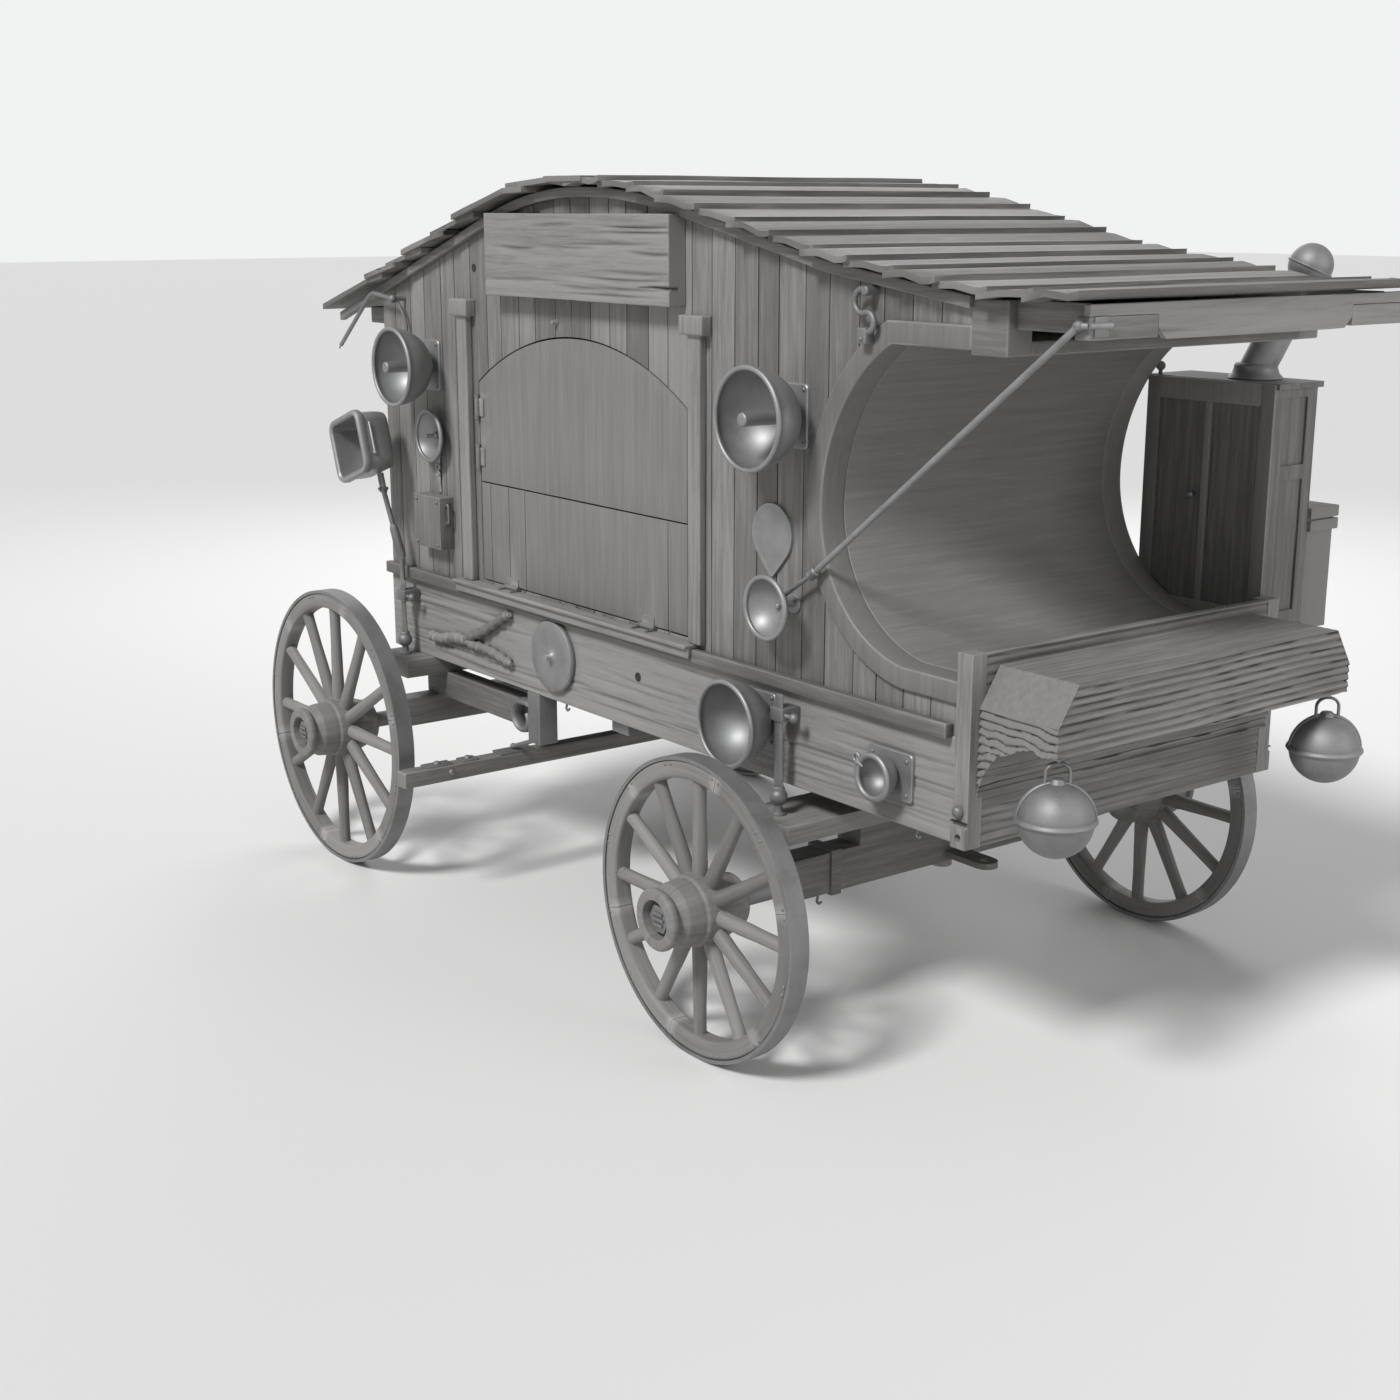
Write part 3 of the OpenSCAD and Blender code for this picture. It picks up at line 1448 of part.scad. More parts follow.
module at_front() {
  translate([front_axle_x, 0, front_wheel_z]) children();
}

module at_rear() {
  translate([rear_axle_x, 0, rear_wheel_z]) children();
}

module wheel_front_right() {
  color(wood_c) at_front() mirror([0, 1, 0]) wheel(front_wheel_d);
}

module wheel_front_left() {
  color(wood_c) at_front() wheel(front_wheel_d);
}

module wheel_rear_right() {
  color(wood_c) at_rear() mirror([0, 1, 0]) wheel(rear_wheel_d);
}

module wheel_rear_left() {
  color(wood_c) at_rear() wheel(rear_wheel_d);
}

module tyre_front_right() {
  color(iron_c) at_front() mirror([0, 1, 0]) tyre(front_wheel_d);
}

module tyre_front_left() {
  color(iron_c) at_front() tyre(front_wheel_d);
}

module tyre_rear_right() {
  color(iron_c) at_rear() mirror([0, 1, 0]) tyre(rear_wheel_d);
}

module tyre_rear_left() {
  color(iron_c) at_rear() tyre(rear_wheel_d);
}

floor();
sill_boards();
wall_right();
wall_left();
wall_rear();
rear_door();
sill_rails();
cab_frames();
cab_barrel();
front_posts();
front_board();
foot_block();
header_blocks();
lintel();
canopy_ends();
canopy_fascia();
canopy_brackets();
canopy_strut();
roof_boards();
roof_stringers();
rear_corbels();
hatch_posts();
counter_rail();
hatch_lower();
hatch_upper();
hinge_pins();
sign_board();
lamp_front();
lamp_rear();
dish_lamp();
wall_box();
drop_plate();
small_bowl();
big_bowl();
mug();
disc_lid();
branch();
lantern();
stays();
roof_hook();
rear_rod();
cabinet();
chest();
stove_pipe();
pots();
reach_pole();
rear_axle();
rear_beams();
bolsters();
brake_beam();
brake_hangers();
front_axle();
wheel_front_right();
wheel_front_left();
wheel_rear_right();
wheel_rear_left();
tyre_front_right();
tyre_front_left();
tyre_rear_right();
tyre_rear_left();
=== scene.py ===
# Looks of the wooden wagon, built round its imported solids.
# Metres. +X is the driver's end, +Y the left-hand side, +Z up.
import bisect
import json
import math
import random

import bmesh
import bpy
from mathutils import Matrix, Vector, noise

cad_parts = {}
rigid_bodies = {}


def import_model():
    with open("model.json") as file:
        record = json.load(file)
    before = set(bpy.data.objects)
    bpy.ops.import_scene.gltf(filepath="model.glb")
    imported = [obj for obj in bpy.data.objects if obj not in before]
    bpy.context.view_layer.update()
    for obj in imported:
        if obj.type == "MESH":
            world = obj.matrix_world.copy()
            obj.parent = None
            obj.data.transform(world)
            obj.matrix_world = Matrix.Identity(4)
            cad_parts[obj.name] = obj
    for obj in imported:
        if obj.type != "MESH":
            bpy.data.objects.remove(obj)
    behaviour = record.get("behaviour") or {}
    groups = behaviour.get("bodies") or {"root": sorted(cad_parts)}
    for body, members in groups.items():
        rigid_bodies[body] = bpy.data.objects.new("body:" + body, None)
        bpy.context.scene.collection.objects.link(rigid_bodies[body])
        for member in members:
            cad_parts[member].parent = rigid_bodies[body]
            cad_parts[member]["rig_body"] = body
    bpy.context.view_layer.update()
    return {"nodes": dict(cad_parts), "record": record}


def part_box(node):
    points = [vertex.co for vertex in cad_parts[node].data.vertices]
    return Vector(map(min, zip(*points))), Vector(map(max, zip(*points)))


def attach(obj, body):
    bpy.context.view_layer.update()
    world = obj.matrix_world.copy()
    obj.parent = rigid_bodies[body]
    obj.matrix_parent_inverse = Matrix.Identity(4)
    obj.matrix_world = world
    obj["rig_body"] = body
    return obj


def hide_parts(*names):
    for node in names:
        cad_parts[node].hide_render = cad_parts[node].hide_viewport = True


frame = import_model()
nodes = frame["nodes"]
slots = {part["node"]: part["material_slot"] for part in frame["record"]["subparts"]}
X, Y, Z = 0, 1, 2

# Camera, at the photograph's place and angle
CAMERA_PLACE = (5.2657, -4.3126, 2.5)
CAMERA_TURN = 52.889
CAMERA_DROP = 14.191
LENS_MM = 50.0
SENSOR_MM = 36.0

# Studio: a soft sun and two large lamps as place, size in metres and power in watts
AIM = Vector((0.0, 0.0, 1.2))
SUN_FROM = (0.9, -4.2, 4.4)
SUN_STRENGTH = 2.9
SUN_SPREAD = math.radians(14)
LAMPS = {
    "front": ((8.0, 2.5, 4.0), 4.0, 140),
    "back": ((-6.5, 5.5, 5.5), 5.0, 260),
}
SKY = (0.88, 0.885, 0.89, 1)
SKY_STRENGTH = 0.34
FLOOR_COLOUR = (0.72, 0.72, 0.715, 1)
FLOOR_HALF = 90.0

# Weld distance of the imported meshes, and the angles that tell an edge from a flat face
WELD = 1e-5
EDGE_ANGLE = math.radians(28)
FLAT_ANGLE = math.radians(0.6)

# Degrees up to which faces are shaded smooth, and from which an edge is worn and lit with a painted
# highlight, and over how many more
SMOOTH = 38
WEAR_HIGHLIGHT_FROM, WEAR_HIGHLIGHT_OVER = 24, 12

# Axles: their place along X and the radius of their wheels
FRONT_X, REAR_X = 0.887, -1.447
AXLES = {"front": (FRONT_X, 0.468), "rear": (REAR_X, 0.5365)}

# Nodes with a bearing, and where their bearings are
BEARING_NODES = ("rear_axle", "front_axle", "bolsters")
AXLE_HALF = 0.700
KINGPIN_REACH = 0.075

# Axles whose arms and nuts, beyond this distance from the middle, are iron
IRON_ENDS = {"rear_axle": 0.7402, "front_axle": 0.7002}


def aim_at(obj, target):
    obj.rotation_euler = (Vector(target) - obj.location).to_track_quat("-Z", "Y").to_euler()


def make_camera():
    data = bpy.data.cameras.new("camera")
    data.lens = LENS_MM
    data.sensor_width = SENSOR_MM
    camera = bpy.data.objects.new("camera", data)
    camera.location = CAMERA_PLACE
    camera.rotation_euler = (math.radians(90 - CAMERA_DROP), 0, math.radians(CAMERA_TURN))
    bpy.context.scene.collection.objects.link(camera)
    bpy.context.scene.camera = camera


def make_world():
    """A dim sky for the light, which looks bright to the camera and in reflections."""
    world = bpy.data.worlds.new("studio")
    world.use_nodes = True
    tree, links = world.node_tree.nodes, world.node_tree.links
    background = tree["Background"]
    background.inputs["Color"].default_value = SKY
    background.inputs["Strength"].default_value = SKY_STRENGTH
    bright = tree.new("ShaderNodeBackground")
    bright.inputs["Color"].default_value = SKY
    path = tree.new("ShaderNodeLightPath")
    mix = tree.new("ShaderNodeMixShader")
    seen = path.outputs["Is Camera Ray"]
    for ray in ("Is Glossy Ray", "Is Transmission Ray"):
        either = tree.new("ShaderNodeMath")
        either.operation = "MAXIMUM"
        links.new(seen, either.inputs[0])
        links.new(path.outputs[ray], either.inputs[1])
        seen = either.outputs[0]
    links.new(seen, mix.inputs["Fac"])
    links.new(background.outputs[0], mix.inputs[1])
    links.new(bright.outputs[0], mix.inputs[2])
    links.new(mix.outputs[0], tree["World Output"].inputs["Surface"])
    bpy.context.scene.world = world


def make_lights():
    scene = bpy.context.scene
    scene.view_settings.view_transform = "Standard"
    sun = bpy.data.lights.new("sun", "SUN")
    sun.energy = SUN_STRENGTH
    sun.angle = SUN_SPREAD
    lamp = bpy.data.objects.new("sun", sun)
    lamp.location = SUN_FROM
    aim_at(lamp, (0, 0, 0))
    scene.collection.objects.link(lamp)
    for name, (place, size, watts) in LAMPS.items():
        data = bpy.data.lights.new(name, "AREA")
        data.size = size
        data.energy = watts
        lamp = bpy.data.objects.new(name, data)
        lamp.location = place
        aim_at(lamp, AIM)
        scene.collection.objects.link(lamp)


def make_floor():
    bm = bmesh.new()
    bmesh.ops.create_grid(bm, x_segments=1, y_segments=1, size=FLOOR_HALF)
    mesh = bpy.data.meshes.new("studio_floor")
    bm.to_mesh(mesh)
    bm.free()
    floor = bpy.data.objects.new("studio_floor", mesh)
    bpy.context.scene.collection.objects.link(floor)
    paint = bpy.data.materials.new("floor_paint")
    paint.use_nodes = True
    shader = paint.node_tree.nodes["Principled BSDF"]
    shader.inputs["Base Color"].default_value = FLOOR_COLOUR
    shader.inputs["Roughness"].default_value = 0.8
    mesh.materials.append(paint)


make_camera()
make_world()
make_lights()
make_floor()


# Materials
class Shader:
    """A material's node tree, with short calls for adding and linking nodes."""

    def __init__(self, name):
        self.material = bpy.data.materials.new(name)
        self.material.use_nodes = True
        self.tree = self.material.node_tree
        self.surface = self.tree.nodes["Principled BSDF"]

    def feed(self, socket, value):
        """Links a socket to another node's, or sets it to a plain value."""
        if isinstance(value, bpy.types.NodeSocket):
            self.tree.links.new(value, socket)
        else:
            socket.default_value = value

    def add(self, kind, inputs=None, **settings):
        node = self.tree.nodes.new(kind)
        for key, value in settings.items():
            setattr(node, key, value)
        for key, value in (inputs or {}).items():
            self.feed(node.inputs[key], value)
        return node

    def set(self, key, value):
        self.feed(self.surface.inputs[key], value)

    def noise(self, vector, scale, detail=3.0, roughness=0.55):
        inputs = {"Vector": vector, "Scale": scale, "Detail": detail, "Roughness": roughness}
        return self.add("ShaderNodeTexNoise", inputs).outputs["Fac"]

    def math(self, operation, a, b):
        return self.add("ShaderNodeMath", {0: a, 1: b}, operation=operation).outputs[0]

    def plus(self, a, b):
        return self.math("ADD", a, b)

    def times(self, a, b):
        return self.math("MULTIPLY", a, b)

    def ramp(self, factor, stops):
        node = self.add("ShaderNodeValToRGB", {"Fac": factor})
        ramp = node.color_ramp
        while len(ramp.elements) < len(stops):
            ramp.elements.new(0.5)
        for element, (place, colour) in zip(ramp.elements, stops):
            element.position = place
            element.color = (*colour, 1)
        return node.outputs["Color"]

    def mix(self, factor, a, b):
        node = self.add("ShaderNodeMix", data_type="RGBA")
        colours = [s for s in node.inputs if s.type == "RGBA"]
        for socket, value in zip([node.inputs["Factor"], *colours], (factor, a, b)):
            self.feed(socket, value)
        return [s for s in node.outputs if s.type == "RGBA"][0]

    def attribute(self, name):
        return self.add("ShaderNodeAttribute", attribute_name=name).outputs["Fac"]

    def bump(self, height, strength, distance):
        node = self.add("ShaderNodeBump", {"Height": height, "Strength": strength, "Distance": distance})
        self.set("Normal", node.outputs["Normal"])


def grey(level, warmth=0.0):
    """A near-neutral colour: level is linear, warmth shifts red up and blue down."""
    return (level * (1 + warmth), level, level * (1 - warmth))


# Grain: its stretch along the wood, then scale, detail and roughness of each noise, and their shares
STRETCH = 0.045
STREAKS = (62.0, 4.0, 0.6)
FIBRES = (260.0, 3.0, 0.65)
STAINS = (2.2, 4.0, 0.55)
STREAK_SHARE, FIBRE_SHARE, STAIN_SHARE = 0.52, 0.32, 0.16
TONE_SHARE = 0.09

# Metal: scale, detail and roughness of its mottling and specks
MOTTLE = (9.0, 5.0, 0.65)
SPECKS = (120.0, 3.0, 0.6)


def wood(name, dark, light, axis, warmth=0.03, contrast=0.72, turned=False):
    """Weathered wood with its grain along one axis, or along each turned part: streaks, worn edges with a
    painted highlight, and painted shade in grooves and cracks.
    """
    s = Shader(name)
    coordinates = s.add("ShaderNodeTexCoord")
    place = coordinates.outputs["Object"]
    drawn = s.add("ShaderNodeAttribute", attribute_name="grain").outputs["Vector"] if turned else place
    along = [1.0, 1.0, 1.0]
    along[axis] = STRETCH
    grain = s.add("ShaderNodeMapping", {"Vector": drawn, "Scale": along}).outputs["Vector"]
    facing = s.add("ShaderNodeSeparateXYZ", {"Vector": coordinates.outputs["Normal"]}).outputs[axis]
    end = 0.0 if turned else s.times(s.math("POWER", s.math("ABSOLUTE", facing, 0.0), 2.0), 0.9)
    streaks = s.noise(grain, *STREAKS)
    fibres = s.noise(grain, *FIBRES)
    stains = s.noise(place, *STAINS)
    tone = s.times(s.attribute("tone"), TONE_SHARE)
    mixed = s.plus(s.times(streaks, STREAK_SHARE), s.times(fibres, FIBRE_SHARE))
    mixed = s.plus(mixed, s.times(stains, STAIN_SHARE))
    mixed = s.plus(s.times(s.math("SUBTRACT", mixed, 0.5), contrast), 0.5)
    calm = s.add("ShaderNodeMix", {"Factor": end, "A": mixed, "B": 0.52}).outputs["Result"]
    mixed = s.plus(calm, tone)
    colour = s.ramp(mixed, [
        (0.30, grey(dark * 0.62, warmth)), (0.45, grey(dark, warmth)),
        (0.57, grey(light, warmth)), (0.72, grey(light * 1.18, warmth * 0.6)),
    ])
    # Edges lighter: partly wear, partly a painted highlight
    worn_highlight = s.times(s.attribute("wear_highlight"), s.times(s.noise(place, 11.0), 1.3))
    colour = s.mix(worn_highlight, colour, (*grey(light * 1.6, warmth * 0.5), 1))
    # Painted shade: nearly black in grooves and cracks
    colour = s.mix(s.attribute("recess_shade"), colour, (*grey(dark * 0.22, warmth), 1))
    s.set("Base Color", colour)
    rough = s.add("ShaderNodeMapRange", {"Value": fibres, "To Min": 0.50, "To Max": 0.78})
    s.set("Roughness", rough.outputs["Result"])
    s.set("Specular IOR Level", 0.4)
    s.bump(s.plus(fibres, streaks), 0.22, 0.0018)
    return s.material


def metal(name, dark, light, rough, hammer, polish):
    """Dull worked metal: mottled tone, hammer marks, brighter on its edges, partly as wear and partly as a
    painted highlight.
    """
    s = Shader(name)
    place = s.add("ShaderNodeTexCoord").outputs["Object"]
    mottle = s.noise(place, *MOTTLE)
    specks = s.noise(place, *SPECKS)
    mixed = s.plus(s.times(mottle, 0.8), s.times(specks, 0.2))
    colour = s.ramp(mixed, [
        (0.28, grey(dark, 0.02)), (0.5, grey((dark + 2 * light) / 3)), (0.74, grey(light, -0.015)),
    ])
    # Edges brighter: partly rubbed, partly a painted highlight
    worn_highlight = s.times(s.attribute("wear_highlight"), s.noise(place, 18.0))
    colour = s.mix(worn_highlight, colour, (*grey(light * 1.5), 1))
    s.set("Base Color", colour)
    s.set("Metallic", polish)
    spread = s.add("ShaderNodeMapRange", {"Value": mottle, "To Min": rough - 0.1, "To Max": rough + 0.14})
    s.set("Roughness", spread.outputs["Result"])
    cells = s.add("ShaderNodeTexVoronoi", {"Vector": place, "Scale": hammer}, feature="SMOOTH_F1")
    s.bump(s.plus(cells.outputs["Distance"], s.times(specks, 0.3)), 0.16, 0.003)
    return s.material


# Woods as dark and light tone, along each axis; metals as dark, light, roughness, hammer marks and polish
WOODS = {
    "grey_wood": [wood(f"grey_wood_{a}", 0.150, 0.235, i) for i, a in enumerate("xyz")],
    "dark_wood": [wood(f"dark_wood_{a}", 0.118, 0.190, i) for i, a in enumerate("xyz")],
    "wheel_wood": [wood(f"wheel_wood_{a}", 0.150, 0.232, i) for i, a in enumerate("xyz")],
}
TURNED = wood("turned_wood", 0.158, 0.225, X, contrast=0.55, turned=True)
PLAIN = [wood(f"plain_wood_{a}", 0.170, 0.232, i, contrast=0.40) for i, a in enumerate("xyz")]
PLAIN_NODES = ("hatch_upper", "hatch_lower", "cab_frames", "cab_barrel")
METALS = {
    "iron": metal("iron", 0.14, 0.23, 0.54, 34.0, 0.6),
    "tyre_iron": metal("tyre_iron", 0.15, 0.25, 0.52, 26.0, 0.65),
    "tin": metal("tin", 0.21, 0.30, 0.48, 22.0, 0.6),
}
# Near-black, painted shade for the inside of bored holes and for the joint grooves
SHADE_BLACK = wood("painted_shade_black", 0.012, 0.02, X)


# Mesh helpers
def new_piece(name, bm, material, body, smooth=SMOOTH):
    mesh = bpy.data.meshes.new(name)
    bm.to_mesh(mesh)
    bm.free()
    mesh.shade_smooth()
    mesh.set_sharp_from_angle(angle=math.radians(smooth))
    mesh.materials.append(material)
    piece = bpy.data.objects.new(name, mesh)
    bpy.context.scene.collection.objects.link(piece)
    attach(piece, body)
    return piece


def node_mesh(node):
    """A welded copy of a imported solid, with its flat triangles joined to whole faces."""
    bm = bmesh.new()
    bm.from_mesh(nodes[node].data)
    bmesh.ops.remove_doubles(bm, verts=bm.verts, dist=WELD)
    bmesh.ops.dissolve_limit(bm, angle_limit=FLAT_ANGLE, verts=bm.verts, edges=bm.edges)
    return bm


def sharp_edges(bm):
    return [e for e in bm.edges if len(e.link_faces) == 2 and e.calc_face_angle(0) > EDGE_ANGLE]


def slice_mesh(bm, axis, step):
    """Cuts the mesh by planes a step apart, so that its flat faces can take relief."""
    places = [v.co[axis] for v in bm.verts]
    low, high = min(places), max(places)
    count = int((high - low) / step)
    normal = Vector((0, 0, 0))
    normal[axis] = 1
    for i in range(1, count + 1):
        point = normal * (low + (high - low) * i / (count + 1))
        geometry = [*bm.verts, *bm.edges, *bm.faces]
        bmesh.ops.bisect_plane(bm, geom=geometry, dist=1e-6, plane_co=point, plane_no=normal)


def loose_parts(bm):
    """Lists of the vertices of each separate solid."""
    left, parts = set(bm.verts), []
    while left:
        stack, part = [left.pop()], []
        while stack:
            v = stack.pop()
            part.append(v)
            for e in v.link_edges:
                w = e.other_vert(v)
                if w in left:
                    left.remove(w)
                    stack.append(w)
        parts.append(part)
    return parts


def paint_tones(bm, seed, tone_of=None):
    """Stores each solid's tone, and the wear of its rounded edges, which the materials also show as a
    painted highlight.
    """
    draw = random.Random(seed)
    tone = bm.verts.layers.float.new("tone")
    wear_highlight = bm.verts.layers.float.new("wear_highlight")
    parts = loose_parts(bm)
    parts.sort(key=lambda vs: tuple(min(v.co[k] for v in vs) for k in (X, Y, Z)))
    for part in parts:
        shade = draw.uniform(-1, 1)
        for v in part:
            v[tone] = tone_of(v.co) if tone_of else shade
    bm.normal_update()
    for v in bm.verts:
        bend = max((v.normal.angle(f.normal, 0) for f in v.link_faces), default=0)
        v[wear_highlight] = min(1.0, max(0.0, math.degrees(bend) - WEAR_HIGHLIGHT_FROM) / WEAR_HIGHLIGHT_OVER)


def wave(co, axis, seed):
    """Slow unevenness of a hand-worked surface, from -1 to 1, long along the grain."""
    p = Vector(co) * 5.0
    p[axis] *= 0.35
    return noise.noise(p + Vector((seed * 3.7, seed * 1.3, -seed * 2.1)))


# Share of a layer's height that its groove takes
GROOVE = 0.26


def layers(co, facing, axis, period, seed):
    """Lapped grain: a height from 0 in a groove to 1 that steps in at each layer, and the painted shade of
    its groove.
    """
    if abs(facing[axis]) < 0.9 and 0.3 < facing.z < 0.8:
        return 1.0, 0.0
    flat = abs(facing.z) > 0.8
    across = co[X] if flat else co[Z]
    q = Vector(co)
    q[axis] *= 0.2
    drift = noise.noise(q * 4.5 + Vector((seed, 0, 0))) * 0.018 + noise.noise(q * 15.0) * 0.006
    t = (across + drift) / period
    k = math.floor(t)
    s = t - k
    bold = 0.72 + 0.28 * noise.noise(Vector((k * 7.3, co[axis] * 2.2, seed)))
    if s < GROOVE:
        height = 1 - bold * (1 - s / GROOVE)
    else:
        height = 1 - bold * 0.5 * ((s - GROOVE) / (1 - GROOVE)) ** 1.4
    if flat:
        return 1 - (1 - height) * 0.16, (1 - height) * 0.15
    return height, max(0.0, 1 - s / 0.34) * bold


def draw_cracks(bm, grain, count, seed):
    """Tapered checks along the grain, for the faces across each of the other two axes."""
    draw = random.Random(seed * 31 + 7)
    low = [min(v.co[k] for v in bm.verts) for k in (X, Y, Z)]
    high = [max(v.co[k] for v in bm.verts) for k in (X, Y, Z)]
    cracks = []
    for normal in (X, Y, Z):
        if normal == grain:
            continue
        across = 3 - normal - grain
        run, wide = high[grain] - low[grain], high[across] - low[across]
        for i in range(max(1, int(count * run * wide))):
            length = draw.uniform(0.18, 0.55) * min(run, 1.6)
            start = draw.uniform(low[grain] - length * 0.3, high[grain] - length * 0.7)
            place = low[across] + wide * draw.uniform(0.06, 0.94)
            bend, width = draw.uniform(-0.012, 0.012), draw.uniform(0.0045, 0.008)
            cracks.append((normal, across, start, length, place, bend, width, draw.uniform(0.5, 1.0)))
    return cracks


def crack_depth(co, facing, grain, cracks):
    """Depth share of the deepest check at a point."""
    side = max((X, Y, Z), key=lambda k: abs(facing[k]))
    best = 0.0
    for normal, across, start, length, place, bend, width, bold in cracks:
        u = (co[grain] - start) / length
        if normal != side or not 0 < u < 1:
            continue
        lens = math.sin(math.pi * u) ** 0.7
        off = (co[across] - place - bend * math.sin(2.6 * u)) / width
        share = bold * lens * (math.exp(-off * off * 1.6) if off > 0 else max(0.0, 1 + off * 0.28) ** 2)
        best = max(best, share)
    return best


def near_bearing(node, co):
    """True on the axle arms and at the kingpin, which stay as close-fitting as the solids are."""
    if node not in BEARING_NODES:
        return False
    return abs(co.y) > AXLE_HALF - 0.01 or math.hypot(co.x - FRONT_X, co.y) < KINGPIN_REACH


def carved(node, grain, bevel=0.004, rough=0.0012, along=0.16, across=0.05, relief=None, depth=0.0,
           period=0.02, count=14, tone_of=None, shape=None):
    """A wooden solid with rounded edges, worn and with a painted highlight, uneven faces and, if asked,
    relief along the grain with painted shade in its grooves and cracks.
    """
    seed = sum(ord(c) for c in node) % 97
    bm = node_mesh(node)
    if bevel:
        bmesh.ops.bevel(bm, geom=sharp_edges(bm), offset=bevel, offset_type="OFFSET", segments=2,
                        profile=0.6, affect="EDGES", clamp_overlap=True)
    for axis in (X, Y, Z):
        slice_mesh(bm, axis, along if axis == grain else across)
    paint_tones(bm, seed, tone_of)
    recess_shade = bm.verts.layers.float.new("recess_shade")
    cracks = draw_cracks(bm, grain, count, seed) if relief == "cracks" else []
    moves = []
    for v in bm.verts:
        lift = 0.0 if near_bearing(node, v.co) else rough * wave(v.co, grain, seed)
        if relief == "layers":
            height, dark = layers(v.co, v.normal, grain, period, seed)
            lift += depth * (height - 1)
            # Painted shade in the grooves between layers
            v[recess_shade] = dark
        elif relief == "cracks":
            deep = crack_depth(v.co, v.normal, grain, cracks)
            lift -= depth * deep
            # Painted shade in the deep cracks
            v[recess_shade] = max(0.0, deep - 0.35) * 0.9
        moves.append(v.normal * lift)
    for v, move in zip(bm.verts, moves):
        v.co += move
    if shape:
        shape(bm)
    slot = slots[node]
    body = nodes[node]["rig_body"]
    woods = PLAIN if node in PLAIN_NODES else WOODS[slot]
    piece = new_piece(f"{node}_timber", bm, woods[grain], body)
    if node in IRON_ENDS:
        piece.data.materials.append(METALS["iron"])
        for face in piece.data.polygons:
            if abs(face.center.y) > IRON_ENDS[node]:
                face.material_index = 1
    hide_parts(node)


for node, obj in nodes.items():
    slot = slots[node]
    obj.data.materials.clear()
    obj.data.materials.append(METALS[slot] if slot in METALS else WOODS[slot][X])


# Shapes that are built here, with the radius of a turned outline at its poles
TINY = 0.0004
UP = Vector((0, 0, 1))


def rounded(points, radius, steps=3):
    """An open outline with its inner corners rounded off."""
    out = [Vector(points[0])]
    for a, b, c in zip(points, points[1:], points[2:]):
        a, b, c = Vector(a), Vector(b), Vector(c)
        back, on = a - b, c - b
        p = b + back.normalized() * min(radius, back.length * 0.45)
        q = b + on.normalized() * min(radius, on.length * 0.45)
        for i in range(steps + 1):
            t = i / steps
            out.append(p * (1 - t) ** 2 + b * 2 * t * (1 - t) + q * t * t)
    out.append(Vector(points[-1]))
    return out


def circle(radius, steps, start=0.0, reach=2 * math.pi):
    """Points of an arc, without its last point where it is a whole circle."""
    last = steps if abs(reach - 2 * math.pi) < 1e-6 else steps - 1
    turns = [start + reach * i / last for i in range(steps)]
    return [(radius * math.cos(a), radius * math.sin(a)) for a in turns]


def loft(bm, rings, caps=True, wrap=False):
    """Joins rings of points, all of one length, into a skin, with its ends capped or joined."""
    rows = [[bm.verts.new(p) for p in ring] for ring in rings]
    for a, b in zip(rows, rows[1:] + rows[:1] if wrap else rows[1:]):
        for i in range(len(a)):
            j = (i + 1) % len(a)
            bm.faces.new((a[i], a[j], b[j], b[i]))
    if caps:
        bm.faces.new(rows[0][::-1])
        bm.faces.new(rows[-1])


def lathe(bm, profile, segments=48, centre=(0, 0, 0), axis=Z, closed=False):
    """Turns an outline of radius and height about an axis through the centre."""
    u, w = [k for k in (X, Y, Z) if k != axis]
    rings = []
    for radius, height in profile:
        points = [Vector(centre) for i in range(segments)]
        for co, (a, b) in zip(points, circle(radius, segments)):
            co[u] += a
            co[w] += b
            co[axis] += height
        rings.append(points)
    loft(bm, rings, caps=False, wrap=closed)


def sweep(bm, points, sizes, sides=12, side=None):
    """A closed tube through points, with two half widths at each, the first along side."""
    points = [Vector(p) for p in points]
    rings = []
    for i, (a, b) in enumerate(sizes):
        ahead = (points[min(i + 1, len(points) - 1)] - points[max(i - 1, 0)]).normalized()
        side = Vector(side) if side else ahead.orthogonal()
        side = (side - ahead * side.dot(ahead)).normalized()
        up = ahead.cross(side)
        rings.append([points[i] + side * (a * c) + up * (b * s) for c, s in circle(1, sides)])
    loft(bm, rings)


def rod(bm, points, radius, sides=12):
    sweep(bm, points, [(radius, radius)] * len(points), sides)


def bent_rod(bm, points, radius, corner=0.02, sides=14):
    """A round rod through points, with its corners bent round."""
    rod(bm, rounded(points, corner, 6), radius, sides)


# Rivet and nail heads: share of the radius and share of the height of each ring
DOME_RINGS = ((1.0, -0.3), (1.0, 0.25), (0.78, 0.72), (0.4, 0.96))


def domes(name, places, radius, height, node, sides=10):
    """Iron heads on a node: places are points with the direction each head faces."""
    bm = bmesh.new()
    for place, facing in places:
        turn = Vector(facing).to_track_quat("Z", "Y").to_matrix()
        rings = []
        for share, rise in DOME_RINGS:
            outline = circle(radius * share, sides)
            rings.append([Vector(place) + turn @ Vector((x, y, height * rise)) for x, y in outline])
        loft(bm, rings)
    paint_tones(bm, 5)
    new_piece(name, bm, METALS["iron"], nodes[node]["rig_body"])


# The foot block's chewed ends: where they begin, and the top of the cove
COVE_X, COVE_Y, COVE_TOP = 1.66, 0.56, 1.16


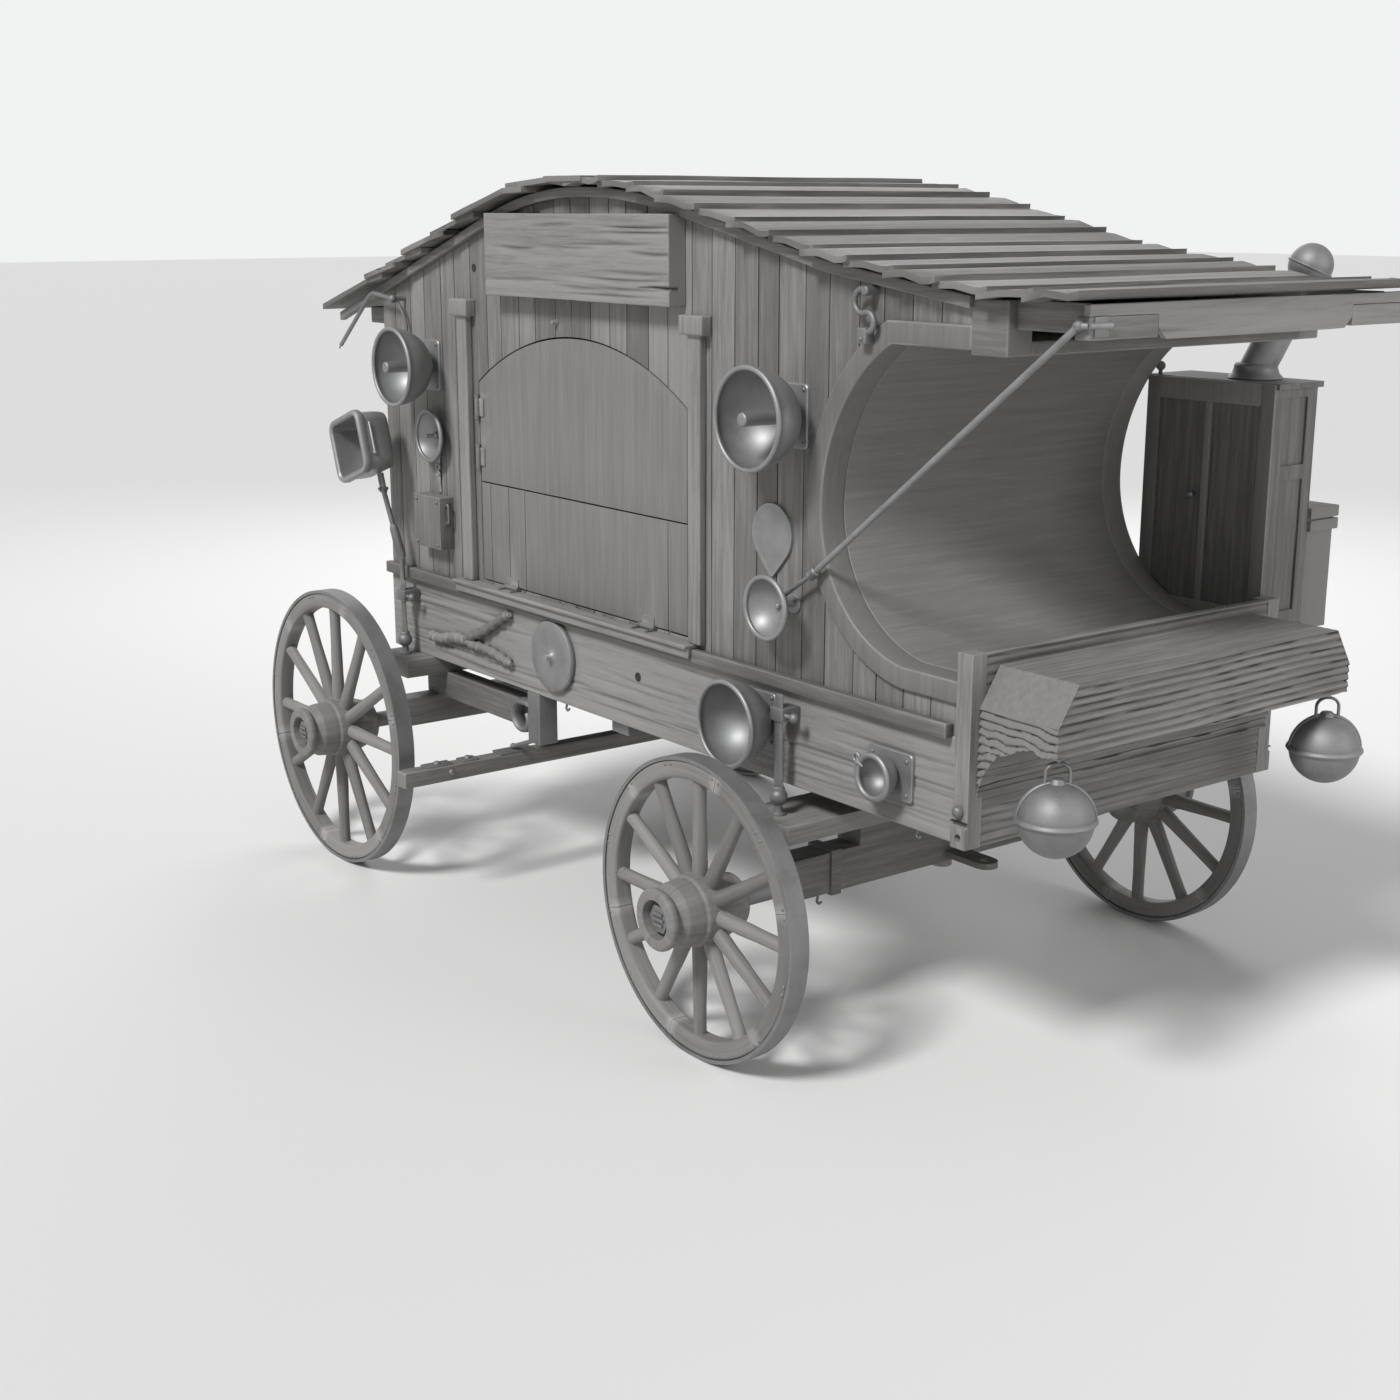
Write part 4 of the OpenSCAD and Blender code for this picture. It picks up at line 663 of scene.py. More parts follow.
def ragged_cove(bm):
    """Breaks up the lower edge of the foot block at both its ends, as chewed end grain."""
    for v in bm.verts:
        if abs(v.co.y) < COVE_Y or v.co.z > COVE_TOP or v.co.x < COVE_X:
            continue
        near = min(1.0, (abs(v.co.y) - COVE_Y) / 0.06)
        bite = noise.noise(Vector((v.co.x * 26, v.co.y * 9, v.co.z * 26))) * 0.012
        bite += noise.noise(v.co * 75.0) * 0.005
        v.co.z += near * bite * min(1.0, (COVE_TOP - v.co.z) / 0.05)
        v.co.x += near * bite * 0.4 * min(1.0, (COVE_TOP - v.co.z) / 0.05)


# The sign's long split: its height as a share of the board's, its length, depth and widths
SPLIT_SHARE = 0.2
SPLIT_L = 0.17
SPLIT_DEPTH = 0.014
SPLIT_THIN = 0.0016
SPLIT_WIDE = 0.0036


def split_end(bm):
    """Opens a split in the sign board's face, deepest at its front end, and paints shade along it."""
    low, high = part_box("sign_board")
    middle_y = (low[Y] + high[Y]) / 2
    split_z = low[Z] + SPLIT_SHARE * (high[Z] - low[Z])
    recess_shade = bm.verts.layers.float["recess_shade"]
    for v in bm.verts:
        run = 1 - (high[X] - v.co.x) / SPLIT_L
        if run <= 0 or v.co.y > middle_y:
            continue
        half = SPLIT_THIN + SPLIT_WIDE * run
        off = v.co.z - split_z - 0.003 * noise.noise(Vector((v.co.x * 14, 0, 0)))
        deep = math.exp(-(off / half) ** 2)
        v.co.y += SPLIT_DEPTH * run * deep
        # Painted shade along the split
        v[recess_shade] = max(v[recess_shade], deep)


SHAPES = {"foot_block": ragged_cove, "sign_board": split_end}

# Timbers: grain axis, edge rounding, unevenness, spacing along and across the grain, and for
# some the kind of relief, its depth, the height of a layer and the cracks on a square metre
TIMBERS = {
    "floor": (X, 0.003, 0.001, 0.4, 0.4),
    "sill_boards": (X, 0.004, 0.0012, 0.07, 0.0042, "cracks", 0.007, 0.0, 46),
    "wall_right": (Z, 0.0015, 0.0006, 0.25, 0.25),
    "wall_left": (Z, 0.0015, 0.0006, 0.25, 0.25),
    "wall_rear": (Z, 0.0015, 0.0006, 0.25, 0.25),
    "rear_door": (Z, 0.0015, 0.0006, 0.25, 0.25),
    "sill_rails": (X, 0.006, 0.0016, 0.10, 0.03),
    "cab_frames": (Z, 0.007, 0.0012, 0.2, 0.2),
    "cab_barrel": (Y, 0.003, 0.0006, 0.15, 0.3),
    "front_posts": (Z, 0.006, 0.0012, 0.06, 0.005, "cracks", 0.003),
    "front_board": (Y, 0.004, 0.0012, 0.05, 0.0055, "layers", 0.0060, 0.026),
    "foot_block": (Y, 0.007, 0.0016, 0.026, 0.0036, "layers", 0.0140, 0.0225),
    "header_blocks": (X, 0.006, 0.0012, 0.06, 0.03),
    "lintel": (Y, 0.005, 0.0012, 0.1, 0.03),
    "canopy_ends": (X, 0.004, 0.001, 0.1, 0.03),
    "canopy_fascia": (Y, 0.004, 0.001, 0.06, 0.005, "cracks", 0.003),
    "canopy_brackets": (Y, 0.006, 0.001, 0.06, 0.03),
    "roof_boards": (Y, 0.0025, 0.0035, 0.09, 0.06),
    "roof_stringers": (X, 0.005, 0.001, 0.1, 0.03),
    "rear_corbels": (X, 0.006, 0.0012, 0.06, 0.03),
    "hatch_posts": (Z, 0.006, 0.0015, 0.07, 0.005, "cracks", 0.0025),
    "counter_rail": (X, 0.005, 0.0012, 0.1, 0.03),
    "hatch_lower": (Z, 0.0015, 0.0006, 0.2, 0.2),
    "hatch_upper": (Z, 0.004, 0.0008, 0.12, 0.12),
    "sign_board": (X, 0.006, 0.0014, 0.025, 0.003, "cracks", 0.010, 0.0, 46),
    "wall_box": (Z, 0.004, 0.001, 0.08, 0.03),
    "cabinet": (Z, 0.004, 0.001, 0.1, 0.05),
    "chest": (X, 0.005, 0.001, 0.1, 0.04),
    "reach_pole": (X, 0.006, 0.0015, 0.2, 0.05),
    "rear_axle": (Y, 0.004, 0.0012, 0.12, 0.06),
    "rear_beams": (X, 0.006, 0.0015, 0.1, 0.04),
    "bolsters": (Y, 0.006, 0.0015, 0.1, 0.05),
    "brake_beam": (Y, 0.006, 0.0015, 0.08, 0.03),
    "front_axle": (Y, 0.004, 0.001, 0.12, 0.06),
}

# Rows of planks and boards: shares of the plank width, and the roof boards each side of the crest
PLANK_W = 0.112
PLANK_SHARES = (1, 0.86, 1.08, 0.94, 1.14, 0.9, 1.02)
CREST_X = -0.230
FRONT_BOARDS = 13
BOARD_PITCH = 0.172
BOARD_LAP = 0.028
REAR_RUN = 1.790
REAR_LIPS = (0.206, 0.404, 0.511, 0.622, 0.711, 0.784)


def plank_edges(start, end):
    edges, n = [start], 1
    while edges[-1] < end:
        edges.append(edges[-1] + PLANK_W * PLANK_SHARES[n % len(PLANK_SHARES)])
        n += 1
    return edges[1:]


def row_tones(axis, edges, seed):
    """Tones of a row of planks, told apart by the places where they meet."""
    draw = random.Random(seed)
    tones = [draw.uniform(-1, 1) for edge in range(len(edges) + 1)]
    return lambda co: tones[bisect.bisect(edges, co[axis])]


side_low, side_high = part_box("wall_right")
rear_low, rear_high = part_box("wall_rear")
side_edges = plank_edges(side_low[X], side_high[X])
roof_edges = [CREST_X - REAR_RUN * share for share in reversed(REAR_LIPS)]
roof_edges += [CREST_X + BOARD_LAP + BOARD_PITCH * i for i in range(FRONT_BOARDS)]
TONES = {
    "wall_right": row_tones(X, side_edges, 11),
    "wall_left": row_tones(X, side_edges, 12),
    "wall_rear": row_tones(Y, plank_edges(rear_low[Y], rear_high[Y]), 13),
    "roof_boards": row_tones(X, roof_edges, 14),
}

for node, row in TIMBERS.items():
    carved(node, *row, tone_of=TONES.get(node), shape=SHAPES.get(node))

# Wheels: the hub's outline as radius and way out, and the spokes' half widths along their length.
# Within the bore's reach the hub stays as close-fitting as the solid is.
TRACK = 2.0
TYRE_T = 0.012
TYRE_W = 0.065
TYRE_GAP = 0.0004
FELLOE_H = 0.055
FELLOES = 6
FELLOE_STEPS = 14
FELLOE_GAP = 0.0022
HUB_R = 0.115
BORE_REACH = 0.07
WHEEL_ROUGH = 0.0006
NAIL_IN = 0.011
HUB_BACK = -0.130
HUB_OUT = 0.170
NUT_RECESS = 0.044
HUB_LINE = [
    (0.0303, HUB_BACK), (0.078, HUB_BACK), (0.088, HUB_BACK + 0.01), (0.088, HUB_BACK + 0.028),
    (0.106, -0.050), (0.110, -0.040), (0.110, 0.042), (0.103, 0.050), (0.104, 0.060), (0.099, 0.108),
    (0.080, 0.132), (0.082, 0.139), (0.094, 0.145), (0.096, 0.152), (0.096, 0.163), (0.089, HUB_OUT),
    (0.060, HUB_OUT), (0.060, HUB_OUT - NUT_RECESS), (0.0303, HUB_OUT - NUT_RECESS),
]
SPOKES = 12
SPOKE_STEPS = 18
SPOKE_FOOT = 0.098
SPOKE_SUNK = 0.012
SPOKE_SHAPE = [
    (0.0, 0.0235, 0.0255), (0.1, 0.0240, 0.0260), (0.3, 0.0222, 0.0242), (0.7, 0.0200, 0.0218),
    (0.9, 0.0202, 0.0216), (1.0, 0.0222, 0.0232),
]


def radial(angle):
    return Vector((math.cos(angle), 0, math.sin(angle)))


def eased(rows, t):
    """Values of a table at a share of the way, eased from row to row."""
    for (t0, *low), (t1, *high) in zip(rows, rows[1:]):
        if t <= t1:
            f = (t - t0) / (t1 - t0)
            f = f * f * (3 - 2 * f)
            return [a + (b - a) * f for a, b in zip(low, high)]


def wheel_grain(co, rim_in):
    """Place along and across the grain: round the felloes, out along the spokes, along the hub."""
    out = math.hypot(co.x, co.z)
    angle = math.atan2(co.z, co.x)
    if out > rim_in - 0.002:
        return angle * rim_in, out, co.y
    if out > HUB_R:
        turn = 2 * math.pi / SPOKES
        spoke = round(angle / turn)
        return out + spoke, out * math.sin(angle - spoke * turn), co.y
    return co.y, 0.1 * math.cos(angle), 0.1 * math.sin(angle)


def wheel(node, x, side, radius):
    """Hub, shaved spokes, felloes and nails of one wheel; side is the way out along Y."""
    centre = Vector((x, side * TRACK / 2, radius))
    rim_out = radius - TYRE_T - TYRE_GAP
    rim_in = radius - TYRE_T - FELLOE_H
    half = TYRE_W / 2
    bm = bmesh.new()
    lathe(bm, [(r, side * h) for r, h in rounded(HUB_LINE, 0.005)], 64, centre, Y, closed=True)
    section = rounded([(rim_out, 0), (rim_out, half), (rim_in, half - 0.001), (rim_in, -half + 0.001),
                       (rim_out, -half), (rim_out, 0)], 0.012, 4)
    step = (2 * math.pi / FELLOES - 2 * FELLOE_GAP) / FELLOE_STEPS
    for k in range(FELLOES):
        start = 2 * math.pi * (k + 0.25) / FELLOES + FELLOE_GAP
        ways = [radial(start + i * step) for i in range(FELLOE_STEPS + 1)]
        loft(bm, [[centre + out * r + Vector((0, h, 0)) for r, h in section[:-1]] for out in ways])
    shares = [i / SPOKE_STEPS for i in range(SPOKE_STEPS + 1)]
    sizes = [eased(SPOKE_SHAPE, t) for t in shares]
    reach = rim_in + SPOKE_SUNK - SPOKE_FOOT
    for k in range(SPOKES):
        out = radial(2 * math.pi * k / SPOKES)
        sweep(bm, [centre + out * (SPOKE_FOOT + reach * t) for t in shares], sizes, 14, (0, 1, 0))
    bmesh.ops.recalc_face_normals(bm, faces=bm.faces)
    paint_tones(bm, int(radius * 1000) + int(side) * 7)
    grain = bm.verts.layers.float_vector.new("grain")
    for v in bm.verts:
        v[grain] = wheel_grain(v.co - centre, rim_in)
    for v in bm.verts:
        if (v.co - centre).xz.length > BORE_REACH:
            v.co += v.normal * WHEEL_ROUGH * noise.noise(v.co * 16.0)
    piece = new_piece(f"{node}_wood", bm, TURNED, nodes[node]["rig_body"], 32)
    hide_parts(node)
    heads = []
    for k in range(FELLOES * 4):
        out = radial(2 * math.pi * (k + (0.12 if k % 2 else 0.88)) / (FELLOES * 4))
        for face in (side, -side):
            place = centre + out * (rim_out - NAIL_IN) + Vector((0, face * half, 0))
            heads.append((place, (0, face, 0)))
    domes(f"{node}_nails", heads, 0.0055, 0.003, node, 8)


for end, (x, radius) in AXLES.items():
    for hand, side in (("right", -1), ("left", 1)):
        wheel(f"wheel_{end}_{hand}", x, side, radius)


# Fittings: helpers
def round_rect(width, height, radius, steps=5):
    """Outline of a rectangle with round corners, centred."""
    out = []
    for k, (sx, sy) in enumerate(((1, 1), (-1, 1), (-1, -1), (1, -1))):
        cx, cy = sx * (width / 2 - radius), sy * (height / 2 - radius)
        out += [(cx + x, cy + y) for x, y in circle(radius, steps, k * math.pi / 2, math.pi / 2)]
    return out


def at_height(outline, z):
    return [(x, y, z) for x, y in outline]


def plate(bm, width, height, thick, corner, edge=0.002):
    """A flat plate with round corners and an eased outer edge."""
    outer = round_rect(width, height, corner)
    inner = round_rect(width - 2 * edge, height - 2 * edge, corner - edge)
    loft(bm, [at_height(outer, 0), at_height(outer, thick - edge), at_height(inner, thick)])


def slab(bm, low, high, ease=0.004):
    """A box between two corners with eased edges."""
    low, high = Vector(low), Vector(high)
    place = Matrix.Translation((low + high) / 2) @ Matrix.Diagonal((*(high - low), 1))
    made = bmesh.ops.create_cube(bm, size=1, matrix=place)["verts"]
    edges = list({e for v in made for e in v.link_edges})
    bmesh.ops.bevel(bm, geom=edges, offset=ease, segments=2, profile=0.6, affect="EDGES")


def ball(bm, centre, radius, segments=24):
    turns = [math.pi * i / 12 for i in range(13)]
    profile = [(max(radius * math.sin(a), 0.0003), -radius * math.cos(a)) for a in turns]
    lathe(bm, profile, segments, centre)


def ring(bm, centre, radius, thick, segments=32):
    lathe(bm, [(radius + x, y) for x, y in circle(thick, 10)], segments, centre, closed=True)


def on_wall(x, y, z, turn=0.0):
    """Sets a shape drawn with +Z outward on a face of the right-hand side."""
    face = Matrix(((1, 0, 0, 0), (0, 0, -1, 0), (0, 1, 0, 0), (0, 0, 0, 1)))
    return Matrix.Translation((x, y, z)) @ face @ Matrix.Rotation(turn, 4, "Z")


def fitting(name, bm, node, place=None, stands_for=True, material=None, smooth=SMOOTH):
    """Finishes a piece that rides and looks as its node does, and stands for the node if asked."""
    if place:
        bm.transform(place)
    bmesh.ops.recalc_face_normals(bm, faces=bm.faces)
    paint_tones(bm, sum(map(ord, name)))
    slot = slots[node]
    material = material or METALS.get(slot) or WOODS[slot][X]
    piece = new_piece(name, bm, material, nodes[node]["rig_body"], smooth)
    if stands_for:
        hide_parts(node)


def extra(name, bm, node, material=METALS["iron"], place=None):
    """A small piece on a node, which stays."""
    fitting(name, bm, node, place, stands_for=False, material=material)


def rivets(name, node, place, points, radius=0.007, height=0.005):
    """Rivet heads on a plate, given in the plate's own frame."""
    outward = place.to_3x3() @ UP
    domes(name, [(place @ Vector(p), outward) for p in points], radius, height, node)


def corners(width, height, margin, z):
    across, up = width / 2 - margin, height / 2 - margin
    return [(sx * across, sy * up, z) for sx in (-1, 1) for sy in (-1, 1)]


def middle(node):
    """Middle of a node's box along x and z, at its back along y."""
    low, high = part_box(node)
    return Vector(((low[X] + high[X]) / 2, high[Y], (low[Z] + high[Z]) / 2))


def half_width(node):
    low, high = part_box(node)
    return (high[X] - low[X]) / 2


# Bowls, lamps and dishes, as thick as the solids; plates as width and height
SHELL = 0.005
RIM = 0.008
RIM_GROWTH = RIM - SHELL / 2
COLLAR = 0.010
PLATE_T = 0.012
STAND = 0.012
BULB_R = 0.021
BULB_L = 0.1815
LAMP_PLATE = (0.13, 0.19)
BOWL_PLATE = (0.13, 0.17)
MUG_PLATE = (0.19, 0.145)
QUARTER = [math.pi / 2 * i / 14 for i in range(15)]


def shell_line(big, turns, back, radius, mouth, rim):
    """Outline of a shell cut from a ball: out from its pole, round the rim and back inside."""
    outer = [(max(big * math.sin(a), TINY), back + big * (1 - math.cos(a))) for a in turns]
    lip = [(radius - SHELL / 2 + x, mouth + y) for x, y in circle(rim, 12, -0.9, math.pi + 1.8)]
    small = big - SHELL
    inner = [(max(small * math.sin(a), TINY), back + big - small * math.cos(a)) for a in turns]
    return outer + lip + inner[::-1]


def bowl_line(radius, collar, back, rim=RIM):
    return shell_line(radius, QUARTER, back, radius, back + radius + collar, rim)


def dish_line(radius, depth, back=0.0):
    """Outline of a shallow dish."""
    big = (radius ** 2 + depth ** 2) / (2 * depth)
    reach = math.asin(min(1.0, radius / big))
    return shell_line(big, [reach * i / 10 for i in range(11)], back, radius, back + depth, RIM)


def rod_line(radius, low, high, ease=0.008):
    """Outline of a rod with a rounded end."""
    tip = [(max(radius - ease + x, TINY), high - ease + y) for x, y in circle(ease, 6, 0.0, math.pi / 2)]
    return [(TINY, low), (radius, low), *tip, (TINY, high)]


def bowl_lamp(node):
    seat = PLATE_T + STAND
    bm = bmesh.new()
    plate(bm, *LAMP_PLATE, PLATE_T, 0.016, 0.004)
    lathe(bm, rod_line(BULB_R, 0, seat + SHELL), 24)
    lathe(bm, bowl_line(half_width(node) - RIM_GROWTH, COLLAR, seat), 64, closed=True)
    lathe(bm, rod_line(BULB_R, seat, seat + BULB_L, 0.007), 32)
    place = on_wall(*middle(node))
    fitting(f"{node}_bowl", bm, node, place)
    rivets(f"{node}_rivets", node, place, corners(*LAMP_PLATE, 0.016, PLATE_T))


def dish_lamp():
    """A dish with a bulb, and the chain of eyes and the tongue that hang from it."""
    half = half_width("dish_lamp")
    hub = middle("dish_lamp")
    hub.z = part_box("dish_lamp")[1][Z] - half
    bm = bmesh.new()
    lathe(bm, dish_line(half - RIM_GROWTH, 0.046), 48, closed=True)
    lathe(bm, rod_line(0.014, 0, 0.026), 20)
    lathe(bm, rod_line(0.008, 0, 0.062, 0.004), 16)
    for drop, eye in ((-0.118, 0.011), (-0.146, 0.009)):
        ring(bm, (0, drop, 0.009), eye, 0.006, 24)
    sweep(bm, [(0, -0.07, 0.006), (0, -0.105, 0.008)], [(0.014, 0.006), (0.011, 0.006)], 12, (1, 0, 0))
    tongue = [(0, -0.153, 0.008), (0, -0.185, 0.006), (0, -0.216, 0.004)]
    sweep(bm, tongue, [(0.013, 0.006), (0.009, 0.005), (0.013, 0.003)], 12, (1, 0, 0))
    fitting("dish_lamp_tin", bm, "dish_lamp", on_wall(*hub))


def small_bowl():
    bm = bmesh.new()
    lathe(bm, dish_line(half_width("small_bowl") - RIM_GROWTH, 0.06, 0.055), 48, closed=True)
    lathe(bm, rod_line(0.009, 0, 0.0575), 16)
    lathe(bm, rod_line(0.03, 0, 0.008, 0.003), 24)
    lathe(bm, rod_line(0.010, 0.055, 0.074, 0.006), 16)
    fitting("small_bowl_tin", bm, "small_bowl", on_wall(*middle("small_bowl")))


def big_bowl():
    place = on_wall(*middle("big_bowl"))
    bm = bmesh.new()
    plate(bm, *BOWL_PLATE, PLATE_T, 0.012, 0.003)
    lathe(bm, bowl_line(half_width("big_bowl") - RIM_GROWTH, COLLAR, PLATE_T), 64, closed=True)
    fitting("big_bowl_tin", bm, "big_bowl", place)
    rivets("big_bowl_rivets", "big_bowl", place, corners(*BOWL_PLATE, 0.014, PLATE_T))


def mug():
    """A mug on its plate, with an ear and a spout."""
    radius, collar, seat = 0.066, 0.008, PLATE_T - 0.010
    mouth = seat + radius + collar
    place = on_wall(*middle("mug"))
    bm = bmesh.new()
    plate(bm, *MUG_PLATE, PLATE_T, 0.014, 0.003)
    lathe(bm, bowl_line(radius, collar, seat, 0.0095), 48, closed=True)
    angle = math.radians(150)
    out = Vector((math.cos(angle), math.sin(angle), 0))
    ring(bm, out * (radius + 0.018) + UP * (mouth - 0.004), 0.0125, 0.0052, 24)
    spout = [(0.01, 0.002), (0.0, 0.009), (-0.02, 0.002)]
    sweep(bm, [out * (radius + reach) + UP * (mouth + rise) for reach, rise in spout],
          [(0.008, 0.004), (0.011, 0.004), (0.002, 0.003)], 10, (-out.y, out.x, 0))
    fitting("mug_tin", bm, "mug", place)
    rivets("mug_rivets", "mug", place, corners(*MUG_PLATE, 0.022, PLATE_T), 0.008, 0.006)


def disc_lid():
    """A thick lid with a hollowed face and a knob."""
    half, thick = half_width("disc_lid"), 0.026
    outline = [
        (TINY, 0), (half - 0.004, 0), (half, 0.006), (half, thick - 0.010), (half - 0.004, thick - 0.004),
        (half - 0.014, thick - 0.001), (half * 0.62, thick - 0.004), (half * 0.3, thick - 0.008),
        (0.026, thick - 0.008), (0.018, thick - 0.004), (0.012, thick + 0.004), (0.0085, thick + 0.012),
        (0.012, thick + 0.016), (0.0105, thick + 0.0195), (TINY, thick + 0.020),
    ]
    bm = bmesh.new()
    lathe(bm, outline, 64)
    bm.transform(on_wall(*middle("disc_lid")))
    for v in bm.verts:
        v.co.y += 0.0012 * noise.noise(v.co * 22.0)
    fitting("disc_lid_tin", bm, "disc_lid")


# The drop plate's rise, as shares of its outline and heights
DROP_RISE = (
    (1.0, 0.0), (1.0, 0.006), (0.985, 0.010), (0.95, 0.0105), (0.90, 0.0075), (0.75, 0.0105),
    (0.5, 0.0135), (0.25, 0.014), (0.06, 0.0138),
)


def drop_plate():
    """A domed leaf with a raised edge, point down."""
    low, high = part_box("drop_plate")
    wide = half_width("drop_plate")
    drop = high[Z] - low[Z] - wide
    tip = 0.014
    lean = math.asin((wide - tip) / (drop - tip))
    outline = circle(wide, 31, -lean, math.pi + 2 * lean)
    outline += [(a, tip - drop + b) for a, b in circle(tip, 9, math.pi + lean, math.pi - 2 * lean)]
    rings = []
    for share, rise in DROP_RISE:
        rings.append([(a * share, b * share - 0.012 * (1 - share), rise) for a, b in outline])
    bm = bmesh.new()
    loft(bm, rings)
    hub = middle("drop_plate")
    hub.z = high[Z] - wide
    fitting("drop_plate_tin", bm, "drop_plate", on_wall(*hub), smooth=50)


LANTERN_TURN = math.radians(19)
LANTERN_W, LANTERN_H = 0.257, 0.249


def lantern():
    """A hood of rounded-square section, open outward, with a thick rim, side bar and catch."""
    low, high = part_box("lantern")
    deep, proud, wall, corner = high[Y] - low[Y], 0.010, 0.014, 0.040
    body_w, body_h = LANTERN_W - 2 * proud, LANTERN_H - 2 * proud
    # Growth of the body's outline, height and corner radius, from the inside round the rim to the back
    sections = [
        (-2 * wall, wall, 0.024), (-2 * wall, deep - 0.02, 0.024), (-2 * wall + 0.002, deep - 0.006, 0.025),
        (-wall, deep, 0.032), (proud, deep, 0.042), (2 * proud - 0.005, deep - 0.003, 0.046),
        (2 * proud, deep - 0.009, 0.048), (2 * proud, deep - 0.025, 0.048),
        (2 * proud - 0.006, deep - 0.031, 0.046), (0, deep - 0.032, corner), (0, 0.05, corner),
        (-0.004, 0.022, corner), (-0.014, 0.006, corner - 0.004), (-0.03, 0.0, corner - 0.008),
    ]
    bm = bmesh.new()
    loft(bm, [at_height(round_rect(body_w + grow, body_h + grow, r, 6), h) for grow, h, r in sections])
    side, bar = body_w / 2 + 0.004, deep - 0.05
    rod(bm, [(side, 0.062, bar), (side + 0.002, 0.06, bar), (side + 0.002, -0.05, bar)], 0.006, 10)
    ball(bm, (side + 0.002, -0.056, bar), 0.0095, 16)
    fitting("lantern_tin", bm, "lantern", on_wall(*middle("lantern"), LANTERN_TURN))


# Forked branch: its three arms as end points and half widths near and far, with knots along them
BRANCH_FORK = Vector((-1.046, -0.657, 0.906))
BRANCH_ARMS = [
    ((-0.268, 0, -0.028), 0.021, 0.0195), ((0.326, 0, 0.148), 0.0185, 0.0175),
    ((0.326, 0, -0.028), 0.0185, 0.0165),
]
BRANCH_KNOTS = (0.16, 0.3, 0.47, 0.62, 0.8, 0.93)
BRANCH_STEPS = 36


def branch():
    bm = bmesh.new()
    for k, (end, near, far) in enumerate(BRANCH_ARMS):
        points, sizes = [], []
        for i in range(BRANCH_STEPS + 1):
            t = i / BRANCH_STEPS
            swell = sum(math.exp(-((t - q) / 0.028) ** 2) for q in BRANCH_KNOTS)
            sway = UP * (0.006 * math.sin(6.5 * t + 2.1 * k) * min(1.0, 4 * t))
            half = (near + (far - near) * t) * (0.88 + 0.26 * swell + 0.06 * math.sin(40 * t + k))
            if t > 0.97:
                half *= 0.62
            points.append(BRANCH_FORK + Vector(end) * t + sway)
            sizes.append((half, half))
        sweep(bm, points, sizes, 14)
    for v in bm.verts:
        v.co += Vector((0, 1, 1)) * 0.0016 * noise.noise(v.co * 55.0)
    fitting("branch_wood", bm, "branch", material=WOODS["wheel_wood"][Z], smooth=60)


# Ball stays at the four corners: the top of the plank each stands on, its blade and its clamp
STAY_Y = 0.700
STAY_TOP = 1.0847
STAY_PLANKS = {"front": 0.705, "rear": 0.785}
BALL_RISE = 0.058
BALL_R = 0.028
BLADE = (
    (0, 0.015, 0.007), (0.03, 0.021, 0.009), (0.1, 0.0195, 0.0085), (0.3, 0.0175, 0.0075),
    (0.6, 0.0165, 0.007), (0.85, 0.017, 0.007), (0.97, 0.017, 0.007), (1, 0.016, 0.006),
)
CLAMP_LOW, CLAMP_HIGH = 1.0007, 1.0447
CLAMP_BACK, CLAMP_FACE = 0.6402, 0.714
LANTERN_BEND = Vector((REAR_X, -STAY_Y, 1.170))


def stay(bm, x, plank, side):
    y = side * STAY_Y
    eye = plank + BALL_RISE
    ball(bm, (x, y, eye), BALL_R)
    foot = [(TINY, plank), (0.024, plank), (0.024, plank + 0.006), (0.015, plank + 0.012),
            (0.012, plank + 0.03), (0.012, eye)]
    lathe(bm, foot, 20, (x, y, 0))
    neck = [(0.010, 0.018), (0.0185, 0.020), (0.0195, 0.027), (0.017, 0.033), (0.010, 0.034)]
    lathe(bm, neck, 20, (x, y, eye))
    low = eye + 0.024
    points = [(x, y, low + (STAY_TOP - low) * t) for t, a, b in BLADE]
    sweep(bm, points, [(a, b) for t, a, b in BLADE], 14, (1, 0, 0))
    near, far = sorted((side * CLAMP_BACK, side * CLAMP_FACE))
    slab(bm, (x - 0.030, near, CLAMP_LOW), (x + 0.030, far, CLAMP_HIGH), 0.007)
    mid = (CLAMP_LOW + CLAMP_HIGH) / 2
    rod(bm, [(x + 0.025, y, mid), (x + 0.066, y, mid)], 0.0065)
    ball(bm, (x + 0.070, y, mid), 0.0165, 18)


def stays():
    """The four stays, and the lantern's arm on the right rear one."""
    bm = bmesh.new()
    for end, plank in STAY_PLANKS.items():
        for side in (-1, 1):
            stay(bm, AXLES[end][0], plank, side)
    down = Vector((math.sin(LANTERN_TURN), 0, -math.cos(LANTERN_TURN)))
    across = Vector((math.cos(LANTERN_TURN), 0, math.sin(LANTERN_TURN)))
    under = middle("lantern") - Vector((0, 0.020, 0)) + down * (LANTERN_H / 2 - 0.0101)
    foot = under + down * 0.065
    along = (foot - LANTERN_BEND).normalized()
    bent_rod(bm, [(REAR_X, -STAY_Y, 1.066), LANTERN_BEND, foot, foot - down * 0.02], 0.010, 0.03)
    sweep(bm, [LANTERN_BEND + along * t for t in (-0.004, 0.01, 0.12, 0.135)],
          [(0.013, 0.011), (0.020, 0.016), (0.017, 0.014), (0.012, 0.011)], 16)
    for shift in (-0.0095, 0.0095):
        cheek = across * shift
        sweep(bm, [foot + cheek, under + cheek], [(0.009, 0.006)] * 2, 12, (0, 1, 0))
    pin, pin_middle = Vector((0, 0.02, 0)), foot - down * 0.004
    rod(bm, [pin_middle - pin, pin_middle + pin], 0.006)
    block = Vector((0.016, 0.011, 0.012))
    slab(bm, foot - block, foot + block, 0.006)
    fitting("stays_iron", bm, "stays")


